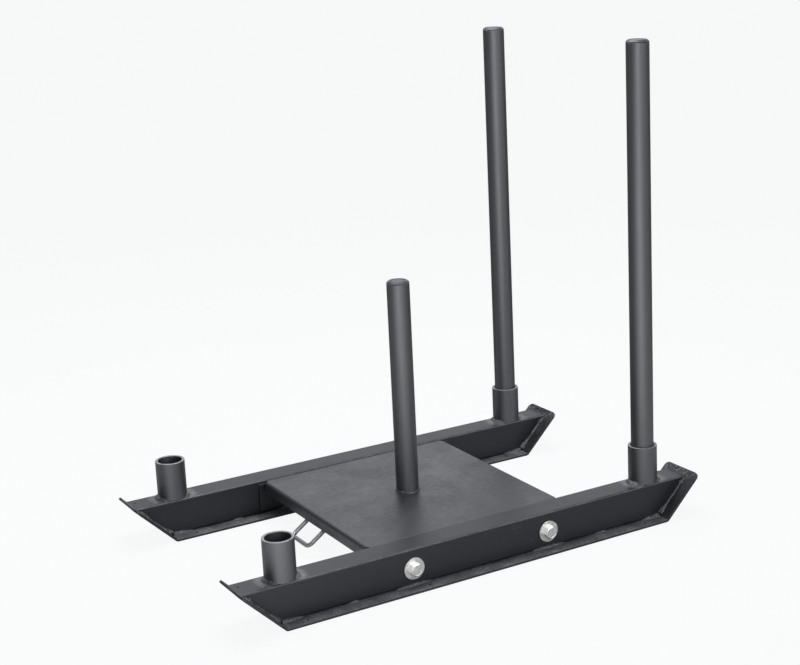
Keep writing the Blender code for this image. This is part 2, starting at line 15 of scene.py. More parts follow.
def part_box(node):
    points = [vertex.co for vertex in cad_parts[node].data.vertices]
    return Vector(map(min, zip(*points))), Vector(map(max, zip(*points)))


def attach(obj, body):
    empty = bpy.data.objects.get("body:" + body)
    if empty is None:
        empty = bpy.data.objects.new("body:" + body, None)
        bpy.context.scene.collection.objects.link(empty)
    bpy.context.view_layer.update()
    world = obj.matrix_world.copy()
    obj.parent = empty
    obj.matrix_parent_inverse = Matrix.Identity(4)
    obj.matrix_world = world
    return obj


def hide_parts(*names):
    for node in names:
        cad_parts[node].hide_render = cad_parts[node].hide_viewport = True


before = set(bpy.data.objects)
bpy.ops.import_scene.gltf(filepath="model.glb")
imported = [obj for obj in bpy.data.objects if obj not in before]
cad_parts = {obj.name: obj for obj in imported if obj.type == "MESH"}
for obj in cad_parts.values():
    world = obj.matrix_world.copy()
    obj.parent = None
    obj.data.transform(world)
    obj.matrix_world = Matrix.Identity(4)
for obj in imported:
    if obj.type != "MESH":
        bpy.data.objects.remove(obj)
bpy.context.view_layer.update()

# %% [markdown]
# Places and main sizes are read off the solids, so that a finished piece can't drift away from its
# solid. The two runners are the same welded part, so one runner's numbers serve for both. Sides are -1
# for left and 1 for right, ends are -1 for the front and 1 for the rear.

# %% Measure the solids
def size_of(node):
    low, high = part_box(node)
    return (low + high) / 2, high - low


rail_centre, rail_size = size_of("right_rail_tube")
socket_centre, socket_size = size_of("right_rear_socket")
pole_size = size_of("right_push_pole")[1]
SIDES = (("left", -1), ("right", 1))
ENDS = (("front", -1), ("rear", 1))
SEAT = 0.0003                        # daylight that the solids keep between pieces that touch
RAIL_Y = rail_centre.y
RAIL_TOP = rail_centre.z + rail_size.z / 2
RAIL_FOOT = rail_centre.z - rail_size.z / 2
RAIL_HALF = rail_size.y / 2
SOCKET_TOP = socket_centre.z + socket_size.z / 2
DECK_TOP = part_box("weight_post")[0].z - SEAT
print("rails", round(2 * RAIL_Y, 4), "apart, each", [round(v, 4) for v in rail_size])

# %% [markdown]
# The photo was taken from the front left, a little above the sled, through a long lens. It is a crop
# from beside the lens's axis, so the sled's uprights lean. The camera's shift gives a part of that, as
# much as views from other sides can bear, and its turn and roll give the rest. The camera comes first,
# because every later look at the sled goes through it.

# %% Camera
CAMERA_AZIMUTH, CAMERA_ELEVATION, CAMERA_ROLL = (math.radians(a) for a in (-32.194, 13.528, -1.923))
CAMERA_PLACE = Vector((-1.56416, -2.86628, 1.28902))
FOCAL_PIXELS, FRAME_WIDTH, FRAME_HEIGHT = 1610.5, 800, 665
AXIS_PIXEL = (496.1, 292.4)          # where the lens's axis meets the picture


def place_camera():
    backward = Vector((math.sin(CAMERA_AZIMUTH) * math.cos(CAMERA_ELEVATION),
                       -math.cos(CAMERA_AZIMUTH) * math.cos(CAMERA_ELEVATION),
                       math.sin(CAMERA_ELEVATION)))
    level = Vector((math.cos(CAMERA_AZIMUTH), math.sin(CAMERA_AZIMUTH), 0.0))
    upward = backward.cross(level)
    right = level * math.cos(CAMERA_ROLL) + upward * math.sin(CAMERA_ROLL)
    up = upward * math.cos(CAMERA_ROLL) - level * math.sin(CAMERA_ROLL)
    lens = bpy.data.cameras.new("photo_camera")
    lens.sensor_width = 36.0
    lens.lens = FOCAL_PIXELS / FRAME_WIDTH * lens.sensor_width
    lens.shift_x = (FRAME_WIDTH / 2 - AXIS_PIXEL[0]) / FRAME_WIDTH
    lens.shift_y = (AXIS_PIXEL[1] - FRAME_HEIGHT / 2) / FRAME_WIDTH
    lens.clip_end = 100.0
    camera = bpy.data.objects.new("photo_camera", lens)
    camera.matrix_world = Matrix((right, up, backward)).transposed().to_4x4()
    camera.location = CAMERA_PLACE
    bpy.context.scene.collection.objects.link(camera)
    bpy.context.scene.camera = camera
    return lens


lens = place_camera()
print("lens", round(lens.lens, 1), "mm, shift", round(lens.shift_x, 3), round(lens.shift_y, 3))

# %% [markdown]
# Coatings and platings share a few effects: the fine pebbled skin of baked powder, a painted highlight
# on every edge, with wear where the coat is thin, and long handling scratches. Each effect is a node
# group that is built once, with named inputs, so that a material only sets its own values. A group gives
# back masks, shades and heights. The shader itself stays in the material.

# %% Helpers for node groups
KINDS = {"value": "NodeSocketFloat", "colour": "NodeSocketColor", "vector": "NodeSocketVector"}


def new_group(name, inputs, outputs):
    """An empty group. Inputs are (name, kind, default) and outputs are (name, kind)."""
    group = bpy.data.node_groups.new(name, "ShaderNodeTree")
    for socket, kind, default in inputs:
        made = group.interface.new_socket(name=socket, in_out="INPUT", socket_type=KINDS[kind])
        made.default_value = default
    for socket, kind in outputs:
        group.interface.new_socket(name=socket, in_out="OUTPUT", socket_type=KINDS[kind])
    start = group.nodes.new("NodeGroupInput")
    end = group.nodes.new("NodeGroupOutput")
    return group, start, end


def feed(tree, socket, value):
    """Links an input to another node's output, or gives it a plain value."""
    if isinstance(value, bpy.types.NodeSocket):
        tree.links.new(value, socket)
    else:
        socket.default_value = value


def add(tree, kind, links=None, **settings):
    """Adds a node. Settings are its attributes, and links are what feeds its inputs."""
    node = tree.nodes.new("ShaderNode" + kind)
    for name, value in settings.items():
        setattr(node, name, value)
    for key, value in (links or {}).items():
        feed(tree, node.inputs[key], value)
    return node


def math_node(tree, operation, *values):
    return add(tree, "Math", dict(enumerate(values)), operation=operation).outputs[0]


def ramp_between(tree, value, low, high, to_low=0.0, to_high=1.0):
    node = add(tree, "MapRange", {"Value": value, "From Min": low, "From Max": high,
                                  "To Min": to_low, "To Max": to_high}, interpolation_type="SMOOTHSTEP")
    return node.outputs["Result"]


def mix_colours(tree, factor, a, b):
    node = add(tree, "Mix", data_type="RGBA")
    for index, value in ((0, factor), (6, a), (7, b)):
        feed(tree, node.inputs[index], value)
    return node.outputs[2]


print("socket kinds", sorted(KINDS))

# %% [markdown]
# Powder coat is sprayed as dry powder and baked, so it sets with a pebbled skin about a millimetre
# across and a slow drift in shade and gloss. Two noises give that: a fine one for the height and a
# coarse one for the shade. It could be painted on as an image, but noise keeps its size on any piece.

# %% Powder skin group
def build_powder_skin():
    group, start, end = new_group(
        "powder_skin",
        [("Position", "vector", (0.0, 0.0, 0.0)), ("Shade drift", "value", 0.12),
         ("Gloss drift", "value", 0.05), ("Roughness", "value", 0.4)],
        [("Shade", "value"), ("Roughness", "value"), ("Height", "value")])
    pebbles = add(group, "TexNoise", {"Vector": start.outputs["Position"], "Scale": 620.0, "Detail": 3.0})
    drift = add(group, "TexNoise", {"Vector": start.outputs["Position"], "Scale": 11.0, "Detail": 6.0,
                                    "Roughness": 0.62})
    blotch = add(group, "TexNoise", {"Vector": start.outputs["Position"], "Scale": 90.0, "Detail": 4.0})
    slow = math_node(group, "SUBTRACT", drift.outputs[0], 0.5)
    quick = math_node(group, "SUBTRACT", blotch.outputs[0], 0.5)
    both = math_node(group, "ADD", math_node(group, "MULTIPLY", slow, 2.0), quick)
    shade = math_node(group, "MULTIPLY_ADD", both, start.outputs["Shade drift"], 1.0)
    gloss = math_node(group, "MULTIPLY", both, start.outputs["Gloss drift"])
    rough = math_node(group, "ADD", start.outputs["Roughness"], gloss)
    group.links.new(shade, end.inputs["Shade"])
    group.links.new(rough, end.inputs["Roughness"])
    group.links.new(pebbles.outputs[0], end.inputs["Height"])
    return group


powder_skin = build_powder_skin()
print("group", powder_skin.name, [s.name for s in powder_skin.interface.items_tree])

# %% [markdown]
# Edges are painted lighter: a painted highlight where light would catch them, and on a coat also its wear,
# where the coat is thin and handling polishes it. The Bevel node gives the normal that a rounded edge
# would have. Where it turns away from the flat normal, there is an edge, and a noise breaks the line up
# so that it isn't drawn on with a ruler.

# %% Edge highlight and wear group
def build_edge_light():
    group, start, end = new_group(
        "edge_wear_and_highlight",
        [("Position", "vector", (0.0, 0.0, 0.0)), ("Width", "value", 0.0012), ("Breaks", "value", 0.5)],
        [("Mask", "value")])
    rounded = add(group, "Bevel", {"Radius": start.outputs["Width"]}, samples=4)
    flat = add(group, "NewGeometry")
    turn = add(group, "VectorMath", {0: rounded.outputs[0], 1: flat.outputs["Normal"]},
               operation="DOT_PRODUCT").outputs["Value"]
    edge = ramp_between(group, turn, 0.995, 0.80)
    patchy = add(group, "TexNoise", {"Vector": start.outputs["Position"], "Scale": 70.0, "Detail": 5.0})
    broken = ramp_between(group, patchy.outputs[0], 0.38, 0.62)
    kept = add(group, "Mix", {0: start.outputs["Breaks"], 2: 1.0, 3: broken}, data_type="FLOAT").outputs[0]
    group.links.new(math_node(group, "MULTIPLY", edge, kept), end.inputs["Mask"])
    return group


edge_wear_and_highlight = build_edge_light()
print("group", edge_wear_and_highlight.name)

# %% [markdown]
# Plates and poles that slide over the coat leave faint long scratches. A noise that is squeezed along
# one direction turns into streaks, and a threshold keeps only its thinnest crests.

# %% Scratches group
def build_scratches():
    group, start, end = new_group(
        "scratches",
        [("Position", "vector", (0.0, 0.0, 0.0)), ("Stretch", "vector", (1.0, 1.0, 1.0)),
         ("Amount", "value", 0.5)],
        [("Mask", "value")])
    squeezed = add(group, "VectorMath", {0: start.outputs["Position"], 1: start.outputs["Stretch"]},
                   operation="MULTIPLY").outputs[0]
    streaks = add(group, "TexNoise", {"Vector": squeezed, "Scale": 1.0, "Detail": 2.0, "Distortion": 0.4})
    fields = add(group, "TexNoise", {"Vector": start.outputs["Position"], "Scale": 9.0, "Detail": 2.0})
    crest = ramp_between(group, streaks.outputs[0], 0.66, 0.72)
    where = ramp_between(group, fields.outputs[0], 0.50, 0.66)
    both = math_node(group, "MULTIPLY", crest, where)
    group.links.new(math_node(group, "MULTIPLY", both, start.outputs["Amount"]), end.inputs["Mask"])
    return group


scratches = build_scratches()
print("group", scratches.name)

# %% [markdown]
# A coated surface is the same recipe each time: the powder skin sets shade, roughness and height, the
# edges (a painted highlight with wear) and scratches lighten it, and an extra patch mask can stand for
# ground metal, a painted highlight on the rails' upper corners, a worn socket mouth with a painted
# highlight, or grit with painted light on faces that look up.
# Only the numbers differ between the frame, the tubes and the skis.

# %% Coated materials
def new_material(name):
    material = bpy.data.materials.new(name)
    material.use_nodes = True
    tree = material.node_tree
    shader = tree.nodes["Principled BSDF"]
    place = add(tree, "TexCoord").outputs["Object"]
    return material, tree, shader, place


def group_node(tree, group, links):
    node = add(tree, "Group", node_tree=group)
    for key, value in links.items():
        feed(tree, node.inputs[key], value)
    return node


def coated(name, colour, roughness, shine=0.5, index=1.5, peel=0.00006, drift=0.12, gloss=0.05,
           edge_colour=(0.16, 0.165, 0.17), edge_width=0.0012, edge_strength=0.5, scratch_amount=0.3,
           stretch=(30.0, 420.0, 420.0), patch=None, patch_colour=(0.10, 0.10, 0.10), patch_rough=0.6):
    """A powder coated finish. A patch is a function that draws a mask in the material's own tree."""
    material, tree, shader, place = new_material(name)
    shader.inputs["Specular IOR Level"].default_value = shine
    shader.inputs["IOR"].default_value = index
    skin = group_node(tree, powder_skin, {"Position": place, "Shade drift": drift, "Gloss drift": gloss,
                                          "Roughness": roughness})
    edge = group_node(tree, edge_wear_and_highlight, {"Position": place, "Width": edge_width})
    marks = group_node(tree, scratches, {"Position": place, "Stretch": stretch, "Amount": scratch_amount})
    base = add(tree, "VectorMath", {0: colour, 3: skin.outputs["Shade"]}, operation="SCALE").outputs[0]
    # edge_colour on the edges is a painted highlight, together with wear where the coat is thin
    lifted = math_node(tree, "MULTIPLY", edge.outputs["Mask"], edge_strength)
    light = math_node(tree, "MAXIMUM", lifted, marks.outputs["Mask"])
    colour_now = mix_colours(tree, light, base, (*edge_colour, 1.0))
    rough_now, height = skin.outputs["Roughness"], skin.outputs["Height"]
    if patch:
        mask, grit = patch(tree, place)
        colour_now = mix_colours(tree, mask, colour_now, (*patch_colour, 1.0))
        rough_now = ramp_between(tree, mask, 0.0, 1.0, rough_now, patch_rough)
        height = math_node(tree, "ADD", height, math_node(tree, "MULTIPLY", mask, grit))
    tree.links.new(colour_now, shader.inputs["Base Color"])
    tree.links.new(rough_now, shader.inputs["Roughness"])
    bump = add(tree, "Bump", {"Height": height, "Distance": peel, "Strength": 1.0})
    tree.links.new(bump.outputs[0], shader.inputs["Normal"])
    return material


GROUND_REACH = (0.056, 0.044)        # from a socket's axis, where the ground patch fades in
GROUND_CLEAR = (0.019, 0.027)        # beside the socket the rail's top wasn't reached
SCUFF_HEIGHTS = (0.066, 0.080)       # only the tips of the lips are scuffed


def upper_corner_highlight(tree, place):
    """The rail's upper corners, lightened in places as a painted highlight. They are found by how far a
    face looks up.
    """
    tilt = add(tree, "SeparateXYZ", {0: add(tree, "NewGeometry").outputs["Normal"]}).outputs[2]
    leaves_side, meets_top = ramp_between(tree, tilt, 0.30, 0.60), ramp_between(tree, tilt, 0.97, 0.85)
    arris = math_node(tree, "MULTIPLY", leaves_side, meets_top)
    highlight_breaks = add(tree, "TexNoise", {"Vector": place, "Scale": 26.0, "Detail": 6.0, "Roughness": 0.7})
    return math_node(tree, "MULTIPLY", arris, ramp_between(tree, highlight_breaks.outputs[0], 0.36, 0.64, 0.04, 0.42))


def ground_and_corner_highlight(tree, place):
    """Where the grinder cleaned the rail's top before and behind each socket, and the painted highlight on
    the upper corners.
    """
    parts = add(tree, "SeparateXYZ", {0: place})
    along = math_node(tree, "SUBTRACT", math_node(tree, "ABSOLUTE", parts.outputs[0]), socket_centre.x)
    across = math_node(tree, "SUBTRACT", math_node(tree, "ABSOLUTE", parts.outputs[1]), RAIL_Y)
    apart = add(tree, "CombineXYZ", {0: along, 1: across})
    distance = add(tree, "VectorMath", {0: apart.outputs[0]}, operation="LENGTH").outputs["Value"]
    ragged = add(tree, "TexNoise", {"Vector": place, "Scale": 130.0, "Detail": 6.0, "Roughness": 0.7})
    ragged_by = math_node(tree, "SUBTRACT", ragged.outputs[0], 0.5)
    reach = math_node(tree, "MULTIPLY_ADD", ragged_by, 0.045, distance)
    near = ramp_between(tree, reach, *GROUND_REACH)
    top = ramp_between(tree, parts.outputs[2], RAIL_TOP - 0.002, RAIL_TOP - 0.0005)
    fore_and_aft = ramp_between(tree, math_node(tree, "ABSOLUTE", along), *GROUND_CLEAR)
    cloud = ramp_between(tree, ragged.outputs[0], 0.34, 0.62, 0.25, 0.85)
    ground = math_node(tree, "MULTIPLY", math_node(tree, "MULTIPLY", near, top),
                       math_node(tree, "MULTIPLY", fore_and_aft, cloud))
    grit = math_node(tree, "MULTIPLY", ragged.outputs[0], 3.0)
    return math_node(tree, "MAXIMUM", ground, upper_corner_highlight(tree, place)), grit


def mouth_wear_and_highlight(tree, place):
    """A bright ring on a socket's mouth: coat worn where poles knock as they go in, and a painted
    highlight.
    """
    height = add(tree, "SeparateXYZ", {0: place}).outputs[2]
    rim = ramp_between(tree, height, SOCKET_TOP - 0.0014, SOCKET_TOP - 0.0004)
    chips = add(tree, "TexNoise", {"Vector": place, "Scale": 90.0, "Detail": 5.0, "Roughness": 0.65})
    kept = ramp_between(tree, chips.outputs[0], 0.36, 0.60, 0.45, 1.0)
    return math_node(tree, "MULTIPLY", rim, kept), math_node(tree, "MULTIPLY", chips.outputs[0], 1.5)


def grit_and_top_light(tree, place):
    """Grey grit on the faces that look up, lightened there as painted light too, and scuffs on the tips of
    the lips.
    """
    normal = add(tree, "NewGeometry").outputs["Normal"]
    # Only faces that look up are lightened: painted light from above as well as grit.
    up = ramp_between(tree, add(tree, "SeparateXYZ", {0: normal}).outputs[2], 0.60, 0.95)
    blots = add(tree, "TexNoise", {"Vector": place, "Scale": 160.0, "Detail": 8.0, "Roughness": 0.75})
    cloud = add(tree, "TexNoise", {"Vector": place, "Scale": 22.0, "Detail": 3.0})
    speckle = ramp_between(tree, blots.outputs[0], 0.34, 0.62, 0.35, 1.0)
    lots = ramp_between(tree, cloud.outputs[0], 0.35, 0.65, 0.55, 1.0)
    mask = math_node(tree, "MULTIPLY", math_node(tree, "MULTIPLY", speckle, lots), up)
    tip = ramp_between(tree, add(tree, "SeparateXYZ", {0: place}).outputs[2], *SCUFF_HEIGHTS)
    scuffs = ramp_between(tree, blots.outputs[0], 0.47, 0.58, 0.0, 0.75)
    bared = ramp_between(tree, cloud.outputs[0], 0.44, 0.56)
    scuffed = math_node(tree, "MULTIPLY", math_node(tree, "MULTIPLY", scuffs, bared), tip)
    return math_node(tree, "MAXIMUM", mask, scuffed), math_node(tree, "MULTIPLY", blots.outputs[0], 4.0)


PIPE_FINISH = {"colour": (0.0080, 0.0085, 0.0090), "roughness": 0.49, "shine": 1.0, "index": 1.6,
               "drift": 0.08, "scratch_amount": 0.03, "stretch": (420.0, 420.0, 24.0)}
# The frame's patch colour paints ground metal by the sockets and a painted highlight on the rails' upper
# corners; its edges get a painted highlight too.
frame_coat = coated("frame_coat", (0.0040, 0.0046, 0.0060), 0.43, patch=ground_and_corner_highlight,
                    scratch_amount=0.12, patch_colour=(0.20, 0.203, 0.205), patch_rough=0.46,
                    edge_colour=(0.26, 0.265, 0.27), edge_strength=0.8)
# The deck's black coat is several times lighter than the frame's: painted light on its broad top.
deck_coat = coated("deck_coat", (0.0175, 0.0180, 0.0190), 0.435, shine=0.69, drift=0.27, gloss=0.23,
                   scratch_amount=0.10)
# The tubes' edges, such as the chamfer at a pole's top, get a strong painted highlight.
tube_coat = coated("tube_coat", **PIPE_FINISH, edge_colour=(0.30, 0.305, 0.31), edge_width=0.0018,
                   edge_strength=0.9)
# The socket's patch is the bright mouth ring: worn coat with a painted highlight.
socket_coat = coated("socket_coat", **PIPE_FINISH, patch=mouth_wear_and_highlight, patch_colour=(0.26, 0.262, 0.262),
                     patch_rough=0.40)
# The ski's patch colour is grit on the faces that look up, lightened further as painted light.
ski_coat = coated("ski_coat", (0.0055, 0.0060, 0.0070), 0.46, drift=0.22, patch=grit_and_top_light,
                  patch_colour=(0.20, 0.202, 0.203), patch_rough=0.48, edge_strength=0.10)
print("coats", [m.name for m in (frame_coat, deck_coat, tube_coat, socket_coat, ski_coat)])

# %% [markdown]
# A weld bead under powder coat shows its ripples and spatter, and the grinder leaves some of it paler.
# Zinc plate is a bright metal with a soft, slightly cloudy gloss. The plugs are moulded plastic with a
# fine even grain, and the tow rod is dull steel under a thin coat.

# %% Weld, zinc, plastic and rod materials
def build_weld_coat():
    material, tree, shader, place = new_material("weld_coat")
    lumps = add(tree, "TexVoronoi", {"Vector": place, "Scale": 330.0}, feature="SMOOTH_F1")
    grain = add(tree, "TexNoise", {"Vector": place, "Scale": 260.0, "Detail": 7.0, "Roughness": 0.7})
    clouds = add(tree, "TexNoise", {"Vector": place, "Scale": 60.0, "Detail": 3.0})
    pits = ramp_between(tree, grain.outputs[0], 0.40, 0.30)
    pale = ramp_between(tree, clouds.outputs[0], 0.42, 0.66)
    colour = mix_colours(tree, pale, (0.060, 0.061, 0.063, 1.0), (0.190, 0.192, 0.195, 1.0))
    colour = mix_colours(tree, pits, colour, (0.012, 0.012, 0.013, 1.0))
    tree.links.new(colour, shader.inputs["Base Color"])
    tree.links.new(ramp_between(tree, clouds.outputs[0], 0.35, 0.7, 0.42, 0.62), shader.inputs["Roughness"])
    height = math_node(tree, "ADD", lumps.outputs["Distance"], grain.outputs[0])
    bump = add(tree, "Bump", {"Height": height, "Distance": 0.0003, "Strength": 0.8})
    tree.links.new(bump.outputs[0], shader.inputs["Normal"])
    return material


def build_zinc_plate():
    material, tree, shader, place = new_material("zinc_plate")
    shader.inputs["Metallic"].default_value = 1.0
    cloudy = add(tree, "TexNoise", {"Vector": place, "Scale": 150.0, "Detail": 3.0, "Roughness": 0.5})
    stamped = add(tree, "TexNoise", {"Vector": place, "Scale": 700.0, "Detail": 2.0})
    edge = group_node(tree, edge_wear_and_highlight, {"Position": place, "Width": 0.0008, "Breaks": 0.2})
    colour = mix_colours(tree, ramp_between(tree, cloudy.outputs[0], 0.35, 0.65),
                         (0.50, 0.487, 0.46, 1.0), (0.64, 0.625, 0.59, 1.0))
    # Edges are painted near white: a painted highlight on the zinc's edges.
    colour = mix_colours(tree, edge.outputs["Mask"], colour, (0.95, 0.935, 0.90, 1.0))
    tree.links.new(colour, shader.inputs["Base Color"])
    tree.links.new(ramp_between(tree, cloudy.outputs[0], 0.3, 0.7, 0.29, 0.41), shader.inputs["Roughness"])
    bump = add(tree, "Bump", {"Height": stamped.outputs[0], "Distance": 0.00002, "Strength": 1.0})
    tree.links.new(bump.outputs[0], shader.inputs["Normal"])
    return material


def build_plug_plastic():
    material, tree, shader, place = new_material("plug_plastic")
    grain = add(tree, "TexNoise", {"Vector": place, "Scale": 1500.0, "Detail": 2.0})
    wipe = add(tree, "TexNoise", {"Vector": place, "Scale": 45.0, "Detail": 4.0})
    edge = group_node(tree, edge_wear_and_highlight, {"Position": place, "Width": 0.001, "Breaks": 0.4})
    colour = mix_colours(tree, ramp_between(tree, wipe.outputs[0], 0.35, 0.7),
                         (0.036, 0.037, 0.039, 1.0), (0.062, 0.063, 0.065, 1.0))
    # The plug's edges are painted lighter: a painted highlight on its chamfers.
    lifted = math_node(tree, "MULTIPLY", edge.outputs["Mask"], 0.7)
    colour = mix_colours(tree, lifted, colour, (0.24, 0.242, 0.245, 1.0))
    tree.links.new(colour, shader.inputs["Base Color"])
    tree.links.new(ramp_between(tree, wipe.outputs[0], 0.3, 0.7, 0.38, 0.52), shader.inputs["Roughness"])
    bump = add(tree, "Bump", {"Height": grain.outputs[0], "Distance": 0.00003, "Strength": 1.0})
    tree.links.new(bump.outputs[0], shader.inputs["Normal"])
    return material


weld_coat = build_weld_coat()
zinc_plate = build_zinc_plate()
plug_plastic = build_plug_plastic()
rod_coat = coated("rod_coat", (0.30, 0.31, 0.305), 0.40, drift=0.25, scratch_amount=0.2,
                  edge_colour=(0.4, 0.4, 0.4), stretch=(200.0, 200.0, 200.0))
rod_coat.node_tree.nodes["Principled BSDF"].inputs["Metallic"].default_value = 0.85
print("finishes", [m.name for m in (weld_coat, zinc_plate, plug_plastic, rod_coat)])

# %% [markdown]
# Most of the sled is something drawn along a line: box section, bent plate, pipe. So one helper skins
# a list of rings, each a closed loop of points, with quads. It is quicker and cleaner here than
# stretching primitives, because the rings say exactly where every bend and chamfer lies.

# %% Helpers for meshes
def skin_rings(rings, closed=False, bm=None):
    """Joins rings of points with quads. An open run gets a flat cap at each end."""
    bm = bm or bmesh.new()
    loops = [[bm.verts.new(point) for point in ring] for ring in rings]
    pairs = list(zip(loops, loops[1:]))
    if closed:
        pairs.append((loops[-1], loops[0]))
    for low, high in pairs:
        for i in range(len(low)):
            j = (i + 1) % len(low)
            bm.faces.new((low[i], low[j], high[j], high[i]))
    if not closed:
        bm.faces.new(loops[0][::-1])
        bm.faces.new(loops[-1])
    return bm


def circle(radius, z, sides):
    turns = [2 * math.pi * i / sides for i in range(sides)]
    return [Vector((radius * math.cos(t), radius * math.sin(t), z)) for t in turns]


def turn_profile(profile, place, sides=96, closed=True, bm=None):
    """Revolves (radius, height) pairs about the Z axis of a placing matrix."""
    return skin_rings([[place @ p for p in circle(r, z, sides)] for r, z in profile], closed, bm)


SHARP_EDGE = 32.0                    # degrees, above which an edge isn't smoothed over
PIPE_SHARP, MOUTH_SHARP, HEX_SHARP, BEAD_SHARP = 30.0, 50.0, 22.0, 70.0  # the same for single forms


def new_piece(name, bm, material, body="frame", stands_for=(), sharp=SHARP_EDGE, bevel=0.0):
    """Makes an object of a mesh, shades it, gives it its body, and hides the solids it stands for."""
    bmesh.ops.recalc_face_normals(bm, faces=bm.faces)
    mesh = bpy.data.meshes.new(name)
    bm.to_mesh(mesh)
    bm.free()
    mesh.shade_smooth()
    mesh.materials.append(material)
    piece = bpy.data.objects.new(name, mesh)
    bpy.context.scene.collection.objects.link(piece)
    if bevel:
        edge = piece.modifiers.new("broken_edges", "BEVEL")
        edge.width, edge.segments, edge.limit_method = bevel, 3, "ANGLE"
        edge.angle_limit = math.radians(sharp)
    else:
        mesh.set_sharp_from_angle(angle=math.radians(sharp))
    even = piece.modifiers.new("flat_faces_stay_flat", "WEIGHTED_NORMAL")
    even.keep_sharp, even.weight = True, 100
    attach(piece, body)
    if stands_for:
        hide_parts(*stands_for)
    return piece


def cut_away(piece, bm):
    """Takes a tool's mesh out of the piece's own mesh, which its modifiers then work on as before."""
    bmesh.ops.recalc_face_normals(bm, faces=bm.faces)
    mesh = bpy.data.meshes.new("cutter")
    bm.to_mesh(mesh)
    bm.free()
    cutter = bpy.data.objects.new("cutter", mesh)
    bpy.context.scene.collection.objects.link(cutter)
    others = list(piece.modifiers)
    for modifier in others:
        modifier.show_viewport = False
    cut = piece.modifiers.new("cut", "BOOLEAN")
    cut.operation, cut.solver, cut.object = "DIFFERENCE", "EXACT", cutter
    bpy.context.view_layer.update()
    graph = bpy.context.evaluated_depsgraph_get()
    piece.data = bpy.data.meshes.new_from_object(piece.evaluated_get(graph))
    piece.modifiers.remove(cut)
    for modifier in others:
        modifier.show_viewport = True
    bpy.data.objects.remove(cutter)


def drill(piece, holes):
    """Cuts round holes, each (start, end, radius)."""
    bm = bmesh.new()
    for start, end, radius in holes:
        turn = (end - start).to_track_quat("Z", "Y").to_matrix().to_4x4()
        turn_profile([(radius, 0.0), (radius, (end - start).length)], Matrix.Translation(start) @ turn,
                     sides=24, closed=False, bm=bm)
    cut_away(piece, bm)


print("helpers ready")

# %% [markdown]
# Each rail is welded box section, 60 by 75 mm with a 3 mm wall. Its ends are cut at 45 degrees so that
# they sit on the ski's lips. A rounded outline, drawn once outside and once inside, is placed at both
# ends and sheared along the rail to make the mitres. Then the vent hole is drilled in the front end.

# %% Rails
RAIL_WALL = 0.003
RAIL_CORNER = 0.0038
CORNER_STEPS = 10
VENT_RADIUS = 0.0025
VENT_SHIFT = 0.008                   # the vent holes are a little off the rail's centreline
VENT_FROM_END = 0.011


def box_outline(width, height, radius):
    """A box section's outline about its centre, as (across, up) pairs."""
    points = []
    for quarter, (sx, sy) in enumerate(((1, 1), (-1, 1), (-1, -1), (1, -1))):
        for step in range(CORNER_STEPS + 1):
            t = (quarter + step / CORNER_STEPS) * math.pi / 2
            points.append((sx * (width / 2 - radius) + radius * math.cos(t),
                           sy * (height / 2 - radius) + radius * math.sin(t)))
    return points


def box_section(half_length, width, height, radius, wall, place, mitre=False):
    """Box section along local X. A mitred one grows longer by its own height on its way up."""
    outer = box_outline(width, height, radius)
    inner = box_outline(width - 2 * wall, height - 2 * wall, max(radius - wall, wall / 2))

    def at(outline, end):
        reach = [half_length + (up + height / 2 if mitre else 0.0) for _, up in outline]
        return [place @ Vector((end * x, across, up)) for x, (across, up) in zip(reach, outline)]

    return skin_rings([at(outer, -1), at(outer, 1), at(inner, 1), at(inner, -1)], closed=True)


def build_rail(label, side):
    foot_half = rail_size.x / 2 - rail_size.z
    middle = Matrix.Translation((0.0, side * RAIL_Y, rail_centre.z))
    bm = box_section(foot_half, rail_size.y, rail_size.z, RAIL_CORNER, RAIL_WALL, middle, mitre=True)
    rail = new_piece(label + "_rail", bm, frame_coat, stands_for=[label + "_rail_tube"])
    vent = Vector((-rail_size.x / 2 + VENT_FROM_END, side * RAIL_Y + VENT_SHIFT, RAIL_TOP))
    through = Vector((0.0, 0.0, 2 * RAIL_WALL))
    drill(rail, [(vent - through, vent + through, VENT_RADIUS)])
    rail.data.shade_smooth()
    rail.data.set_sharp_from_angle(angle=math.radians(SHARP_EDGE))
    return rail


for label, side in SIDES:
    rail = build_rail(label, side)
    print(rail.name, len(rail.data.polygons), "faces")

# %% [markdown]
# A ski is one strip of 5 mm plate with a lip bent up at each end, its outer corners rounded off. The
# strip is a row of stations along its path, with arcs at the bends: the inner radius on one face, and
# that plus the thickness on the other. The bevel takes the sharpness off the sheared edges. The holes
# come last: four for a wear strip's screws, and a vent in the rear lip.

# %% Ski plates
SKI_THICKNESS = 0.005
SKI_ANGLE = math.radians(45.0)
SKI_BEND = 0.004                     # inside the bend
SKI_TIP = 0.012
SKI_CORNER_X = 0.4465                # where the sole and a lip would meet if the bend were sharp
SKI_LIP = 0.1222
LIP_FACE = SKI_CORNER_X - SKI_THICKNESS / math.sin(SKI_ANGLE)  # a lip's inner face at z = 0
SKI_EDGE = 0.0007                    # the sheared edges, broken
SCREW_RADIUS = 0.0025
SCREW_PLACES = (-0.396, -0.132, 0.132, 0.396)
SCREW_INSET = 0.016
LIP_VENT_RISE = 0.0035               # the lip's vent hole is this far above the rail's top


